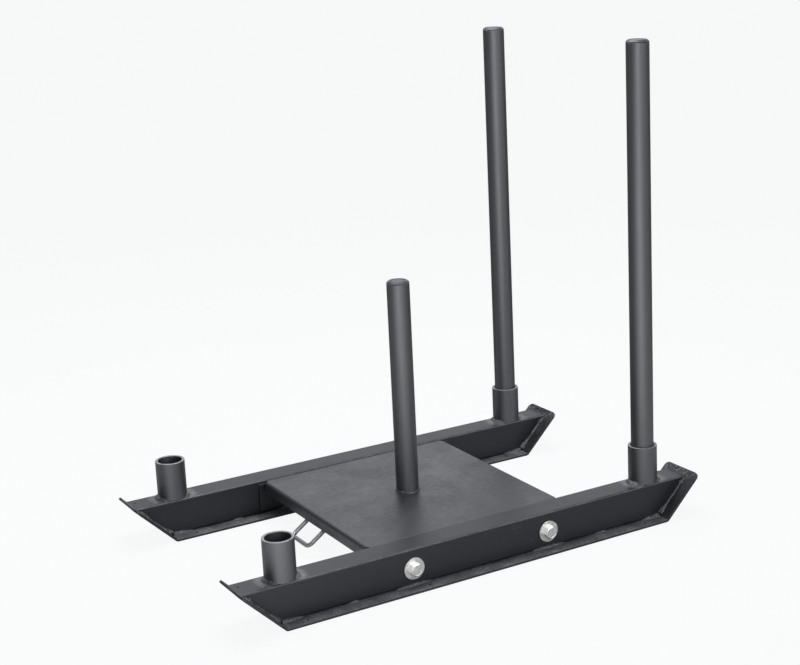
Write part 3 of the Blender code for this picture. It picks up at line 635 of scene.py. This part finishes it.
def fold_strip(corners, bend, thickness, y_low, y_high, side, tip=0.0, steps=8):
    """Bends a strip along (x, z) corners. Side 1 has the inner face on the path's left."""
    path = [Vector(c) for c in corners]
    normals = []
    for start, end in zip(path, path[1:]):
        along = (end - start).normalized()
        normals.append(Vector((-along.y, along.x)) * side)
    stations = [(path[0], path[0] + normals[0] * thickness)]
    for corner, before, after in zip(path[1:], normals, normals[1:]):
        centre = corner + (before + after) * ((bend + thickness) / (1 + before.dot(after)))
        for step in range(steps + 1):
            normal = before.slerp(after, step / steps)
            stations.append((centre - normal * (bend + thickness), centre - normal * bend))
    stations.append((path[-1], path[-1] + normals[-1] * thickness))
    rings = [[Vector((a.x, y_low, a.y)), Vector((a.x, y_high, a.y)),
              Vector((b.x, y_high, b.y)), Vector((b.x, y_low, b.y))] for a, b in stations]
    bm = skin_rings(rings)
    if tip:
        bm.edges.ensure_lookup_table()
        ends = (path[0].x, path[-1].x)
        through = [e for e in bm.edges
                   if abs(e.verts[0].co.y - e.verts[1].co.y) < 1e-6
                   and abs(e.calc_length() - thickness) < 1e-6
                   and min(abs(e.verts[0].co.x - x) for x in ends) < thickness]
        bmesh.ops.bevel(bm, geom=through, offset=tip, segments=8, profile=0.5, affect="EDGES")
    return bm


def build_ski(label, side):
    centre, size = size_of(label + "_ski_plate")
    rise = SKI_LIP * math.sin(SKI_ANGLE)
    corners = ((-SKI_CORNER_X - rise, rise), (-SKI_CORNER_X, 0.0), (SKI_CORNER_X, 0.0),
               (SKI_CORNER_X + rise, rise))
    left_edge, right_edge = centre.y - size.y / 2, centre.y + size.y / 2
    bm = fold_strip(corners, SKI_BEND, SKI_THICKNESS, left_edge, right_edge, 1, SKI_TIP)
    ski = new_piece(label + "_ski", bm, ski_coat, stands_for=[label + "_ski_plate"],
                    bevel=SKI_EDGE)
    feet = [Vector((x, left_edge + SCREW_INSET, -0.004)) for x in SCREW_PLACES]
    holes = [(foot, foot + Vector((0.0, 0.0, 0.012)), SCREW_RADIUS) for foot in feet]
    vent_z = RAIL_TOP + LIP_VENT_RISE
    vent = Vector((LIP_FACE + vent_z, side * RAIL_Y + VENT_SHIFT, vent_z))
    through = Vector((1.0, 0.0, -1.0)).normalized()
    holes.append((vent - through * 0.008, vent + through * 0.016, VENT_RADIUS))
    drill(ski, holes)
    return ski


for label, side in SIDES:
    ski = build_ski(label, side)
    print(ski.name, len(ski.data.polygons), "faces")

# %% [markdown]
# Each socket is a stub of heavy pipe that stands on the rail. Its mouth is broken all round so that a
# pole slips in without catching, and that edge shows as a bright ring, worn and with a painted highlight.
# A turned profile is the way to make a pipe: the outline of its wall, spun about the axis.

# %% Sockets
SOCKET_BORE = 0.0255
SOCKET_RADIUS = 0.031
MOUTH_EDGE = 0.0011
EDGE_STEPS = 4


def rounded_mouth(outer, bore, top, edge):
    """The wall's top from outside to inside, with both edges rounded."""
    arc = [i / EDGE_STEPS * math.pi / 2 for i in range(EDGE_STEPS + 1)]
    outside = [(outer - edge + edge * math.cos(t), top - edge + edge * math.sin(t)) for t in arc]
    inside = [(bore + edge - edge * math.sin(t), top - edge + edge * math.cos(t)) for t in arc]
    return outside + inside


def build_socket(label, end_label):
    node = f"{label}_{end_label}_socket"
    centre, size = size_of(node)
    foot, top = centre.z - size.z / 2, centre.z + size.z / 2
    profile = [(SOCKET_RADIUS, foot)] + rounded_mouth(SOCKET_RADIUS, SOCKET_BORE, top, MOUTH_EDGE)
    profile.append((SOCKET_BORE, foot))
    place = Matrix.Translation((centre.x, centre.y, 0.0))
    return new_piece(f"{label}_{end_label}_pipe_socket", turn_profile(profile, place), socket_coat,
                     stands_for=[node], sharp=MOUTH_SHARP)


for label, _ in SIDES:
    for end_label, _ in ENDS:
        build_socket(label, end_label)
print("sockets", round(2 * SOCKET_RADIUS, 4), "outside,", round(2 * SOCKET_BORE, 4), "bore")

# %% [markdown]
# A weld bead fills the corner between two pieces. It is laid in overlapping drops, so its face is
# rippled and its width wanders. Each station along the corner has a fan of points from one leg to the
# other, a little fuller than flat, and smooth noise moves the legs in and out. The feet are sunk into
# the plates so that no gap shows. Bump alone would leave the bead's outline dead straight.

# %% Weld bead helper
BEAD_FAN = 8
BEAD_PITCH = 0.0042                  # from drop to drop
BEAD_STEP = 0.0011
BEAD_SUNK = 0.0004


def wander(place, size, seed):
    """Smooth noise of about -1 to 1 that changes over the given size."""
    return 2.0 * noise.noise(place / size + Vector((seed * 7.3, seed * 3.1, seed * 1.7)))


def bead_ring(root, leg_a, leg_b, size, travelled, seed, lumps=0.6):
    ripple = 1.0 + 0.09 * lumps * math.sin(2 * math.pi * travelled / BEAD_PITCH)
    ring = []
    for i in range(BEAD_FAN + 1):
        t = i / BEAD_FAN * math.pi / 2
        flat = 1.0 / (math.cos(t) + math.sin(t))
        out = leg_a * math.cos(t) + leg_b * math.sin(t)
        point = root + out * size * ripple * (0.62 * flat + 0.38)
        lump = 1.0 + lumps * (0.17 * wander(point, 0.006, seed) + 0.10 * wander(point, 0.0022, seed + 5))
        ring.append(root + (point - root) * lump)
    ring[0] -= leg_b * BEAD_SUNK
    ring[-1] -= leg_a * BEAD_SUNK
    ring.append(root - (leg_a + leg_b) * BEAD_SUNK)
    return ring


def lay_bead(bm, start, end, leg_a, leg_b, size, seed, fade=0.25, fade_out=None):
    """A straight bead that thins out over the given shares of its length at its ends."""
    length = (end - start).length
    count = max(8, round(length / BEAD_STEP))
    rings = []
    for i in range(count + 1):
        share = i / count
        taper = min(1.0, 0.22 + 0.78 * min(share / fade, (1 - share) / (fade_out or fade)))
        root = start.lerp(end, share)
        rings.append(bead_ring(root, leg_a, leg_b, size * taper, share * length, seed))
    return skin_rings(rings, bm=bm)


print("bead steps of", BEAD_STEP * 1000, "mm")

# %% [markdown]
# The welder stitched each rail to its ski: a fat stitch round each bend, a stitch under each bolt, a
# short one between, and a thin bead up each mitre that thickens near the top. The stitch at a bend is
# two beads that meet at full width in the corner. The pieces of one runner are joined into one object,
# since they are one kind of bead on one part.

# %% Runner welds
STITCHES = ((0.292, 0.028, 0.0030), (0.158, 0.078, 0.0044))  # middle, length, size
CORNER_STITCH, LIP_STITCH, CORNER_SIZE = 0.046, 0.030, 0.0070
MITRE_SIZE = 0.0030
MITRE_TOP, MITRE_TOP_SIZE = 0.026, 0.0060


def build_runner_welds(label, side):
    bm = bmesh.new()
    seed = 3 + 11 * (side + 1)
    z_up = Vector((0.0, 0.0, 1.0))
    for flank in (-1, 1):
        out = Vector((0.0, flank, 0.0))
        face = side * RAIL_Y + flank * RAIL_HALF
        for _, end in ENDS:
            seed += 1
            for middle, length, size in STITCHES:
                a = Vector((end * (middle - length / 2), face, SKI_THICKNESS))
                b = Vector((end * (middle + length / 2), face, SKI_THICKNESS))
                lay_bead(bm, a, b, out, z_up, size, seed)
            corner = Vector((end * (LIP_FACE + SKI_THICKNESS), face, SKI_THICKNESS))
            lay_bead(bm, corner, corner - Vector((end * CORNER_STITCH, 0.0, 0.0)), out, z_up, CORNER_SIZE,
                     seed, fade=0.02, fade_out=0.75)
            slope = Vector((end, 0.0, 1.0)).normalized()
            off_lip = Vector((-end, 0.0, 1.0)).normalized()
            low_z, high_z = RAIL_FOOT + 0.006, RAIL_TOP - 0.005
            low = Vector((end * (LIP_FACE + low_z), face, low_z))
            high = Vector((end * (LIP_FACE + high_z), face, high_z))
            lay_bead(bm, low, high, out, off_lip, MITRE_SIZE, seed + 20, fade=0.08)
            lay_bead(bm, low - slope * 0.004, low + slope * LIP_STITCH, out, off_lip, CORNER_SIZE,
                     seed + 30, fade=0.02, fade_out=0.75)
            lay_bead(bm, high - slope * MITRE_TOP, high, out, off_lip, MITRE_TOP_SIZE, seed + 40, fade=0.5)
    return new_piece(label + "_runner_welds", bm, weld_coat, sharp=BEAD_SHARP)


for label, side in SIDES:
    welds = build_runner_welds(label, side)
    print(welds.name, len(welds.data.polygons), "faces")

# %% [markdown]
# A socket is as wide as its rail, so it can only be welded before and behind, where the rail's top is
# flat. Over the rail's rounded edges its foot shows a dark gap. The post stands on the open deck and
# has an even bead all round.

# %% Beads round the sockets and the post
def bead_round(bm, centre, radius, size, seed, start=0.0, turn=2 * math.pi, fade=0.25):
    """A bead round a pipe's foot. Less than a full turn thins out at both ends."""
    count = round(turn * radius / BEAD_STEP)
    full = turn >= 2 * math.pi
    rings = []
    for i in range(count if full else count + 1):
        share = i / count
        out = Vector((math.cos(start + turn * share), math.sin(start + turn * share), 0.0))
        root = centre + out * radius
        lump = 1.0 + 0.22 * wander(root, 0.014, seed + 9)
        taper = 1.0 if full else min(1.0, 0.12 + 0.88 * min(share, 1 - share) / fade)
        rings.append(bead_ring(root, out, Vector((0.0, 0.0, 1.0)), size * lump * taper,
                               share * turn * radius, seed, lumps=0.45))
    return skin_rings(rings, closed=full, bm=bm)


SOCKET_BEAD_TURN = math.radians(116.0)
SOCKET_BEAD, POST_BEAD = 0.0062, 0.0036
for label, side in SIDES:
    for end_label, end in ENDS:
        seed = 60 + 7 * (side + 2 * end)
        centre = Vector((end * socket_centre.x, side * RAIL_Y, RAIL_TOP))
        bm = bmesh.new()
        for middle in (0.0, math.pi):
            bead_round(bm, centre, SOCKET_RADIUS, SOCKET_BEAD, seed + middle,
                       middle - SOCKET_BEAD_TURN / 2, SOCKET_BEAD_TURN)
        new_piece(f"{label}_{end_label}_socket_weld", bm, weld_coat, sharp=BEAD_SHARP)
bm = bead_round(bmesh.new(), Vector((0.0, 0.0, DECK_TOP)), pole_size.x / 2, POST_BEAD, 131)
# The post's bead takes the deck's coat, and with it the deck's painted light.
new_piece("post_weld", bm, deck_coat, sharp=BEAD_SHARP)
print("beads round four sockets and the post")

# %% [markdown]
# Poles and post are the same pipe with a push-in plastic plug in the top. The plug has a chamfered
# head, a shallow ring groove and a low disc in the middle, and its hollow spigot holds it in the bore.
# Each pole rides on its own body, because it lifts out of its socket.

# %% Poles, post and plugs
POLE_RADIUS = pole_size.x / 2
POLE_WALL = 0.003
SPIGOT_WALL, SPIGOT_DEPTH = 0.0025, 0.018


def plug_profile(seat, top):
    """From the spigot's foot up over the head to the middle."""
    bore = POLE_RADIUS - POLE_WALL - SEAT
    head = [(0.0, 0.0013), (0.0010, 0.0023), (0.0040, top - seat - 0.0005), (0.0046, top - seat - 0.0001),
            (0.0056, top - seat)]
    chamfer = [(POLE_RADIUS - 0.0001 - inward, seat + up) for inward, up in head]
    spigot = [(bore - SPIGOT_WALL, seat), (bore - SPIGOT_WALL, seat - SPIGOT_DEPTH),
              (bore, seat - SPIGOT_DEPTH), (bore, seat)]
    rim = [(POLE_RADIUS - 0.0006, seat), (POLE_RADIUS - 0.0001, seat + 0.0005)]
    groove = [(0.0158, top), (0.0154, top - 0.0006), (0.0150, top - 0.0015), (0.0141, top - 0.0015),
              (0.0137, top - 0.0008), (0.0133, top - 0.0004)]
    return spigot + rim + chamfer + groove + [(0.004, top - 0.0004)]


def build_pipe(name, node, plug_node, body, label):
    (low, high), plug_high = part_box(node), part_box(plug_node)[1]
    centre = (low + high) / 2
    place = Matrix.Translation((centre.x, centre.y, 0.0))
    bore = POLE_RADIUS - POLE_WALL
    pipe = [(POLE_RADIUS, low.z), (POLE_RADIUS, high.z - 0.0006), (POLE_RADIUS - 0.0006, high.z),
            (bore, high.z), (bore, low.z)]
    new_piece(name, turn_profile(pipe, place), tube_coat, body, [node], sharp=PIPE_SHARP)
    plug = turn_profile(plug_profile(high.z + SEAT, plug_high.z), place, closed=False)
    new_piece(label + "_plug", plug, plug_plastic, body, [plug_node], sharp=PIPE_SHARP)
    return high.z - low.z


for label, _ in SIDES:
    length = build_pipe(label + "_pole", label + "_push_pole", label + "_pole_end_plug",
                        label + "_pole", label + "_pole_top")
    print(label, "pole is", round(length, 4), "m of pipe")
length = build_pipe("post", "weight_post", "weight_post_end_plug", "frame", "post_top")
print("post is", round(length, 4), "m of pipe")

# %% [markdown]
# The deck is one 4 mm sheet folded down at the front and the rear, its corners clipped. It is the same
# strip helper as for the skis, with the inner face on the other side. Its two long edges are rounded,
# because each of them turns dark beside its rail. Below it, the side plates are flat bar, and two box
# ribs and a doubler stiffen it.

# %% Deck and what is under it
DECK_BEND = 0.003
DECK_THICKNESS = 0.004
DECK_ROLL = 0.0034                   # the round on its two long edges
CLIP, CLIP_TALL = 0.012, 0.08        # off each corner, and the height of the block that cuts it
PLATE_EDGE = 0.0006
SIDE_PLATE_CORNER, DOUBLER_CORNER = 0.004, 0.008
RIB_CORNER, RIB_WALL = 0.0045, 0.003


def flat_plate(low, high, thin_axis, corner):
    """A flat bar between two corner points, its four corners rounded about its thin axis."""
    bm = bmesh.new()
    bmesh.ops.create_cube(bm, size=1.0)
    for vert in bm.verts:
        vert.co = (low + high) / 2 + Vector([vert.co[i] * (high - low)[i] for i in range(3)])
    bm.edges.ensure_lookup_table()
    others = [i for i in range(3) if i != thin_axis]
    edges = [e for e in bm.edges
             if all(abs((e.verts[0].co - e.verts[1].co)[i]) < 1e-7 for i in others)]
    bmesh.ops.bevel(bm, geom=edges, offset=corner, segments=8, profile=0.5, affect="EDGES")
    return bm


def clip_corners(piece, half_x, half_y, z):
    """Takes a triangle off each corner of the deck with a tall block turned by 45 degrees."""
    bm = bmesh.new()
    for x in (-half_x, half_x):
        for y in (-half_y, half_y):
            corner = Matrix.Translation((x, y, z)) @ Matrix.Rotation(math.pi / 4, 4, "Z")
            scale = Matrix.Diagonal((CLIP * math.sqrt(2), CLIP * math.sqrt(2), CLIP_TALL, 1.0))
            bmesh.ops.create_cube(bm, size=1.0, matrix=corner @ scale)
    cut_away(piece, bm)


def round_long_edges(bm, half_x):
    """Rounds the outer edges beside the rails, over the folds and down both flanges."""
    reach = DECK_BEND + DECK_THICKNESS

    def outside(co):
        into_fold = Vector((max(0.0, abs(co.x) - (half_x - reach)), max(0.0, co.z - (DECK_TOP - reach))))
        return into_fold.length > reach - 1e-5

    edges = [e for e in bm.edges
             if abs(e.verts[0].co.y - e.verts[1].co.y) < 1e-6 and all(outside(v.co) for v in e.verts)]
    bmesh.ops.bevel(bm, geom=edges, offset=DECK_ROLL, segments=6, profile=0.5, affect="EDGES")
    print(len(edges), "edges of the deck rounded")


def build_deck():
    low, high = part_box("deck_pan")
    corners = ((low.x, low.z), (low.x, DECK_TOP), (high.x, DECK_TOP), (high.x, low.z))
    bm = fold_strip(corners, DECK_BEND, DECK_THICKNESS, low.y, high.y, -1)
    round_long_edges(bm, high.x)
    deck = new_piece("deck", bm, deck_coat, stands_for=["deck_pan"], bevel=PLATE_EDGE)
    clip_corners(deck, high.x, high.y, DECK_TOP - CLIP_TALL / 4)
    return deck


deck = build_deck()
for label, _ in SIDES:
    low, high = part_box(label + "_deck_side_plate")
    new_piece(label + "_side_plate", flat_plate(low, high, 1, SIDE_PLATE_CORNER), frame_coat,
              stands_for=[label + "_deck_side_plate"], bevel=PLATE_EDGE)
for end_label, _ in ENDS:
    centre, size = size_of(end_label + "_deck_rib")
    place = Matrix.Translation(centre) @ Matrix.Rotation(math.pi / 2, 4, "Z")
    rib = box_section(size.y / 2, size.x, size.z, RIB_CORNER, RIB_WALL, place)
    new_piece(end_label + "_rib", rib, frame_coat, stands_for=[end_label + "_deck_rib"])
low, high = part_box("post_doubler_plate")
new_piece("post_doubler", flat_plate(low, high, 2, DOUBLER_CORNER), frame_coat,
          stands_for=["post_doubler_plate"], bevel=PLATE_EDGE)
print("deck top at", round(DECK_TOP, 4))

# %% [markdown]
# The tow loop is one 9 mm rod bent into a staple. Its two legs are welded behind the deck's front
# flange and then turn forward and down, and the bar between them takes a hook. A circle swept along a
# path is the natural way to bend rod: the path carries the bends, and the section stays round.

# %% Tow loop
FLANGE_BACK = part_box("deck_pan")[0].x + DECK_THICKNESS
ROD_RADIUS = 0.0045
LEG_Y = 0.038
DROP = math.radians(35.0)
LEG_REACH = 0.045
ROD_BEND = 0.011
BEND_STEPS = 10
LEG_WELD_TOP, LEG_WELD, LEG_BEAD = 0.0705, 0.014, 0.0038


def tow_path():
    edge = Vector((FLANGE_BACK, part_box("deck_pan")[0].z))
    clear = ROD_RADIUS + SEAT
    leg_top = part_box("tow_loop")[1].z
    leg = [Vector((edge.x + clear, leg_top - share * (leg_top - edge.y))) for share in (0.0, 0.5)]
    for step in range(BEND_STEPS + 1):
        angle = -(math.pi / 2 - DROP) * step / BEND_STEPS
        leg.append(edge + clear * Vector((math.cos(angle), math.sin(angle))))
    slope = Vector((-math.cos(DROP), -math.sin(DROP)))
    bar = leg[-1] + slope * LEG_REACH
    half = [Vector((p.x, -LEG_Y, p.y)) for p in leg]
    for step in range(BEND_STEPS + 1):
        angle = math.pi / 2 * step / BEND_STEPS
        place = bar - slope * (ROD_BEND * (1 - math.sin(angle)))
        half.append(Vector((place.x, -LEG_Y + ROD_BEND * (1 - math.cos(angle)), place.y)))
    return half + [Vector((p.x, -p.y, p.z)) for p in reversed(half)]


def rod_mesh(path, radius, sides=20):
    """Sweeps a circle along a path, carrying its frame from point to point so that it doesn't twist."""
    rings = []
    across = Vector((0.0, 1.0, 0.0)).cross(path[1] - path[0]).normalized()
    for i, point in enumerate(path):
        ahead = (path[min(i + 1, len(path) - 1)] - path[max(i - 1, 0)]).normalized()
        across = (across - ahead * across.dot(ahead)).normalized()
        other = ahead.cross(across)
        rings.append([point + (across * math.cos(t) + other * math.sin(t)) * radius
                      for t in [2 * math.pi * k / sides for k in range(sides)]])
    return skin_rings(rings)


path = tow_path()
new_piece("tow_staple", rod_mesh(path, ROD_RADIUS), rod_coat, stands_for=["tow_loop"])
bm = bmesh.new()
for n, y in enumerate((-LEG_Y, LEG_Y)):
    for flank in (-1, 1):
        top = Vector((FLANGE_BACK, y + flank * ROD_RADIUS * 0.9, LEG_WELD_TOP))
        lay_bead(bm, top, top - Vector((0.0, 0.0, LEG_WELD)), Vector((1.0, 0.0, 0.0)),
                 Vector((0.0, flank, 0.0)), LEG_BEAD, 80 + 2 * n + flank)
new_piece("tow_staple_welds", bm, weld_coat, sharp=BEAD_SHARP)
print("tow rod", round(sum((b - a).length for a, b in zip(path, path[1:])), 3), "m long")

# %% [markdown]
# Four 16 mm bolts hold the deck's side plates between the rails, with a wide washer under each head
# and each lock nut. A hexagon is drawn with as many points as a circle, so that the 30 degree cone of
# its crown can run down over the corners as it does on a real head. No two bolts stop at the same
# angle, so each gets its own turn.

# %% Fasteners
BOLT_SHANK = 0.008
HEAD_FLATS = 0.024
HEAD_HEIGHT = 0.0115
TIP_CHAMFER = 0.0012
NUT_FLATS = 0.024
NUT_SHOULDER, NUT_TURN = 0.004, 17.0
CROWN_SHARE = 0.95                   # how much of a hexagon's width its flat top has
HEX_SIDES = 48
WASHER_RADIUS = 0.0225               # as the photo shows them, a little inside their solids
WASHER_BORE, WASHER_EDGE = 0.0087, 0.0009
HEAD_TURNS = {("left", "front"): 10.0, ("left", "rear"): 6.0,
              ("right", "front"): 21.0, ("right", "rear"): 4.0}


def hexagon(flats, z, crown=None):
    points = []
    for i in range(HEX_SIDES):
        turn = 2 * math.pi * i / HEX_SIDES
        from_flat = (turn % (math.pi / 3)) - math.pi / 6
        radius = flats / 2 / math.cos(from_flat)
        drop = 0.0 if crown is None else (radius - crown) * math.tan(math.radians(30))
        points.append(Vector((radius * math.cos(turn), radius * math.sin(turn), z - drop)))
    return points


def facing(node, side, turn=0.0):
    """A matrix on the node's axis, with +Z out of the sled. Its origin is on the axis at y = 0."""
    centre = size_of(node)[0]
    return (Matrix.Translation((centre.x, 0.0, centre.z)) @ Matrix.Rotation(-side * math.pi / 2, 4, "X")
            @ Matrix.Rotation(math.radians(turn), 4, "Z"))


def build_bolt(label, end_label, side):
    node = f"{label}_{end_label}_bolt"
    low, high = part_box(node)
    tip, top = sorted((abs(low.y), abs(high.y)))
    place = facing(node, side, HEAD_TURNS[label, end_label])
    under = top - HEAD_HEIGHT
    crown = HEAD_FLATS / 2 * CROWN_SHARE
    rings = [circle(BOLT_SHANK - TIP_CHAMFER, tip, HEX_SIDES),
             circle(BOLT_SHANK, tip + TIP_CHAMFER, HEX_SIDES),
             circle(BOLT_SHANK, under, HEX_SIDES), hexagon(HEAD_FLATS, under),
             hexagon(HEAD_FLATS, top, crown), circle(crown, top, HEX_SIDES),
             circle(crown * 0.86, top, HEX_SIDES), circle(crown * 0.82, top - 0.0003, HEX_SIDES)]
    bm = skin_rings([[place @ p for p in ring] for ring in rings])
    new_piece(f"{label}_{end_label}_hex_bolt", bm, zinc_plate, stands_for=[node],
              sharp=HEX_SHARP)


def build_washer(label, end_label, side, which):
    node = f"{label}_{end_label}_{which}_washer"
    low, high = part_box(node)
    near, far = sorted((abs(low.y), abs(high.y)))
    outer, edge = min(WASHER_RADIUS, (high.x - low.x) / 2), WASHER_EDGE
    profile = [(outer - edge, near), (outer, near + edge), (outer, far - edge),
               (outer - edge * 0.3, far - edge * 0.3), (outer - edge, far), (WASHER_BORE, far),
               (WASHER_BORE, near)]
    bm = turn_profile(profile, facing(node, side), sides=72)
    new_piece(f"{label}_{end_label}_{which}_wide_washer", bm, zinc_plate, stands_for=[node])


def build_nut(label, end_label, side):
    node = f"{label}_{end_label}_lock_nut"
    low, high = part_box(node)
    tip, seat = sorted((abs(low.y), abs(high.y)))
    place = facing(node, side, HEAD_TURNS[label, end_label] + NUT_TURN)
    shoulder, crown, bore = tip + NUT_SHOULDER, NUT_FLATS / 2 * CROWN_SHARE, BOLT_SHANK + SEAT
    rings = [circle(bore, seat, HEX_SIDES), hexagon(NUT_FLATS, seat), hexagon(NUT_FLATS, shoulder),
             circle(crown, shoulder, HEX_SIDES), circle(crown, tip + 0.002, HEX_SIDES),
             circle(crown - 0.0007, tip + 0.0006, HEX_SIDES), circle(crown - 0.002, tip, HEX_SIDES),
             circle(bore, tip, HEX_SIDES)]
    bm = skin_rings([[place @ p for p in ring] for ring in rings], closed=True)
    new_piece(f"{label}_{end_label}_nut", bm, zinc_plate, stands_for=[node],
              sharp=HEX_SHARP)


for label, side in SIDES:
    for end_label, _ in ENDS:
        build_bolt(label, end_label, side)
        build_washer(label, end_label, side, "outer")
        build_washer(label, end_label, side, "inner")
        build_nut(label, end_label, side)
print("four bolts with", HEAD_FLATS * 1000, "mm heads")

# %% [markdown]
# The photo's ground is almost white and has no edge. The floor and the world give that colour to the
# camera through Light Path, so that no lamp has to burn the sled out. The floor still takes a faint
# shadow, because a part of its colour comes from real light.
#
# A satin coat shows what it mirrors, so glossy rays get surroundings of their own. For them the floor
# is dull behind the sled, dimmed under its deck as a painted shadow, and brighter ahead of it, which
# gives each upright tube a soft band down its middle. The world is bright behind the sled, from a little
# above the ground, where the deck and the rails' tops mirror it. It has two soft patches besides: one up
# at the camera's right for the bolts' upper facets, and one low beside the camera for the tops of the
# tubes.

# %% Floor and world
PAPER = (0.940, 0.944, 0.947, 1.0)
STUDIO_TINT = (0.905, 0.93, 1.0, 1.0)
BACKDROP_WAY = (0.66, 0.75, 0.0)     # behind the sled
FRONT_WAY = (-0.56, -0.83, 0.0)      # toward the camera
KEY_WAY, STRIP_WAY = (0.28, -0.81, 0.52), (-0.54, -0.84, 0.06)  # toward the two soft patches
FLOOR_HALF, FLOOR_DROP = 30.0, 0.0005


def show_paper(tree, seen_share, lit, strength=1.0):
    """Mixes plain paper over a shader for camera rays."""
    seen = add(tree, "Emission", {"Color": PAPER, "Strength": strength})
    return add(tree, "MixShader", {0: seen_share, 1: lit, 2: seen.outputs[0]}).outputs[0]


def along_way(tree, place, way):
    return add(tree, "VectorMath", {0: place, 1: way}, operation="DOT_PRODUCT").outputs["Value"]


def floor_glow(tree):
    """What mirrors see of the floor: dull behind the sled, a painted shadow under its deck, bright ahead of
    it.
    """
    place = add(tree, "NewGeometry").outputs["Position"]
    ahead = along_way(tree, place, FRONT_WAY)
    aside = math_node(tree, "ABSOLUTE", along_way(tree, place, (FRONT_WAY[1], -FRONT_WAY[0], 0.0)))
    glow = ramp_between(tree, ahead, -0.9, -0.3, BACK_FLOOR_MIRRORED, FLOOR_MIRRORED)
    bright = ramp_between(tree, aside, 0.6, 2.2, FRONT_FLOOR_MIRRORED, ROOM_MIRRORED)
    glow = ramp_between(tree, ahead, 0.25, 1.5, glow, bright)
    # A painted shadow: under the deck the floor that mirrors see is dimmed to about a third.
    unsigned = add(tree, "VectorMath", {0: place}, operation="ABSOLUTE").outputs[0]
    sides = add(tree, "SeparateXYZ", {0: unsigned})
    from_middle = math_node(tree, "MAXIMUM", sides.outputs[0], sides.outputs[1])
    return math_node(tree, "MULTIPLY", glow, ramp_between(tree, from_middle, 0.18, 0.25, 0.35, 1.0))


def build_floor():
    bm = bmesh.new()
    bmesh.ops.create_grid(bm, x_segments=2, y_segments=2, size=FLOOR_HALF)
    mesh = bpy.data.meshes.new("floor")
    bm.to_mesh(mesh)
    bm.free()
    floor = bpy.data.objects.new("floor", mesh)
    floor.location.z = -FLOOR_DROP
    bpy.context.scene.collection.objects.link(floor)
    material = bpy.data.materials.new("paper_floor")
    material.use_nodes = True
    tree = material.node_tree
    tree.nodes.remove(tree.nodes["Principled BSDF"])
    lit = add(tree, "BsdfDiffuse", {"Color": (0.62, 0.62, 0.63, 1.0)})
    mirrored = add(tree, "Emission", {"Color": STUDIO_TINT, "Strength": floor_glow(tree)})
    path = add(tree, "LightPath")
    in_mirrors = path.outputs["Is Glossy Ray"]
    mix = add(tree, "MixShader", {0: in_mirrors, 1: lit.outputs[0], 2: mirrored.outputs[0]})
    share = math_node(tree, "MULTIPLY", path.outputs["Is Camera Ray"], FLOOR_PAPER_SHARE)
    out = show_paper(tree, share, mix.outputs[0], FLOOR_PAPER_GAIN)
    tree.links.new(out, tree.nodes["Material Output"].inputs["Surface"])
    mesh.materials.append(material)


def world_glow(tree):
    """What mirrors see of the world: a backdrop behind the sled, and two soft patches."""
    way = add(tree, "TexCoord").outputs["Generated"]
    height = add(tree, "SeparateXYZ", {0: way}).outputs[2]
    low_part = ramp_between(tree, height, 0.02, 0.34, BACKDROP_MIRRORED * 0.26, BACKDROP_MIRRORED)
    high_glow = ramp_between(tree, height, 0.32, 0.62, low_part, BACKDROP_MIRRORED * 0.60)
    behind = along_way(tree, way, BACKDROP_WAY)
    glow = ramp_between(tree, behind, 0.40, 0.95, ROOM_MIRRORED, high_glow)
    for box_way, wide, strength in ((KEY_WAY, 0.88, KEY_MIRRORED), (STRIP_WAY, 0.90, STRIP_MIRRORED)):
        toward = along_way(tree, way, box_way)
        glow = math_node(tree, "ADD", glow, ramp_between(tree, toward, wide, wide + 0.07, 0.0, strength))
    return glow


def build_world():
    world = bpy.data.worlds.new("studio")
    bpy.context.scene.world = world
    world.use_nodes = True
    tree = world.node_tree
    fill = tree.nodes["Background"]
    fill.inputs["Color"].default_value = (0.93, 0.96, 1.0, 1.0)
    fill.inputs["Strength"].default_value = FILL
    mirrored = add(tree, "Background", {"Color": STUDIO_TINT, "Strength": world_glow(tree)})
    path = add(tree, "LightPath")
    in_mirrors = path.outputs["Is Glossy Ray"]
    mix = add(tree, "MixShader", {0: in_mirrors, 1: fill.outputs[0], 2: mirrored.outputs[0]})
    out = show_paper(tree, path.outputs["Is Camera Ray"], mix.outputs[0])
    tree.links.new(out, tree.nodes["World Output"].inputs["Surface"])


FLOOR_PAPER_SHARE, FLOOR_PAPER_GAIN = 0.92, 1.055
BACK_FLOOR_MIRRORED, FLOOR_MIRRORED, FRONT_FLOOR_MIRRORED = 0.24, 0.68, 3.3
ROOM_MIRRORED, BACKDROP_MIRRORED, KEY_MIRRORED, STRIP_MIRRORED = 0.30, 1.62, 5.0, 4.0
FILL = 0.42
build_floor()
build_world()
print("floor and world are", [round(c, 3) for c in PAPER[:3]])

# %% [markdown]
# One wide softbox overhead does the rest. It lights the deck and the rails' tops and leaves the rails'
# sides dark, and it puts the faint shadow under the sled.

# %% Softbox
def softbox(name, place, target, width, height, power):
    lamp = bpy.data.lights.new(name, "AREA")
    lamp.shape, lamp.size, lamp.size_y, lamp.energy = "RECTANGLE", width, height, power
    lamp.color = STUDIO_TINT[:3]
    box = bpy.data.objects.new(name, lamp)
    box.location = place
    box.rotation_mode = "QUATERNION"
    box.rotation_quaternion = (Vector(target) - Vector(place)).to_track_quat("-Z", "Y")
    box.visible_camera = False
    bpy.context.scene.collection.objects.link(box)
    return box


softbox("overhead", (0.1, 0.45, 2.5), (0.0, 0.0, 0.1), 1.8, 1.4, 55.0)
scene = bpy.context.scene
scene.view_settings.view_transform = "Standard"
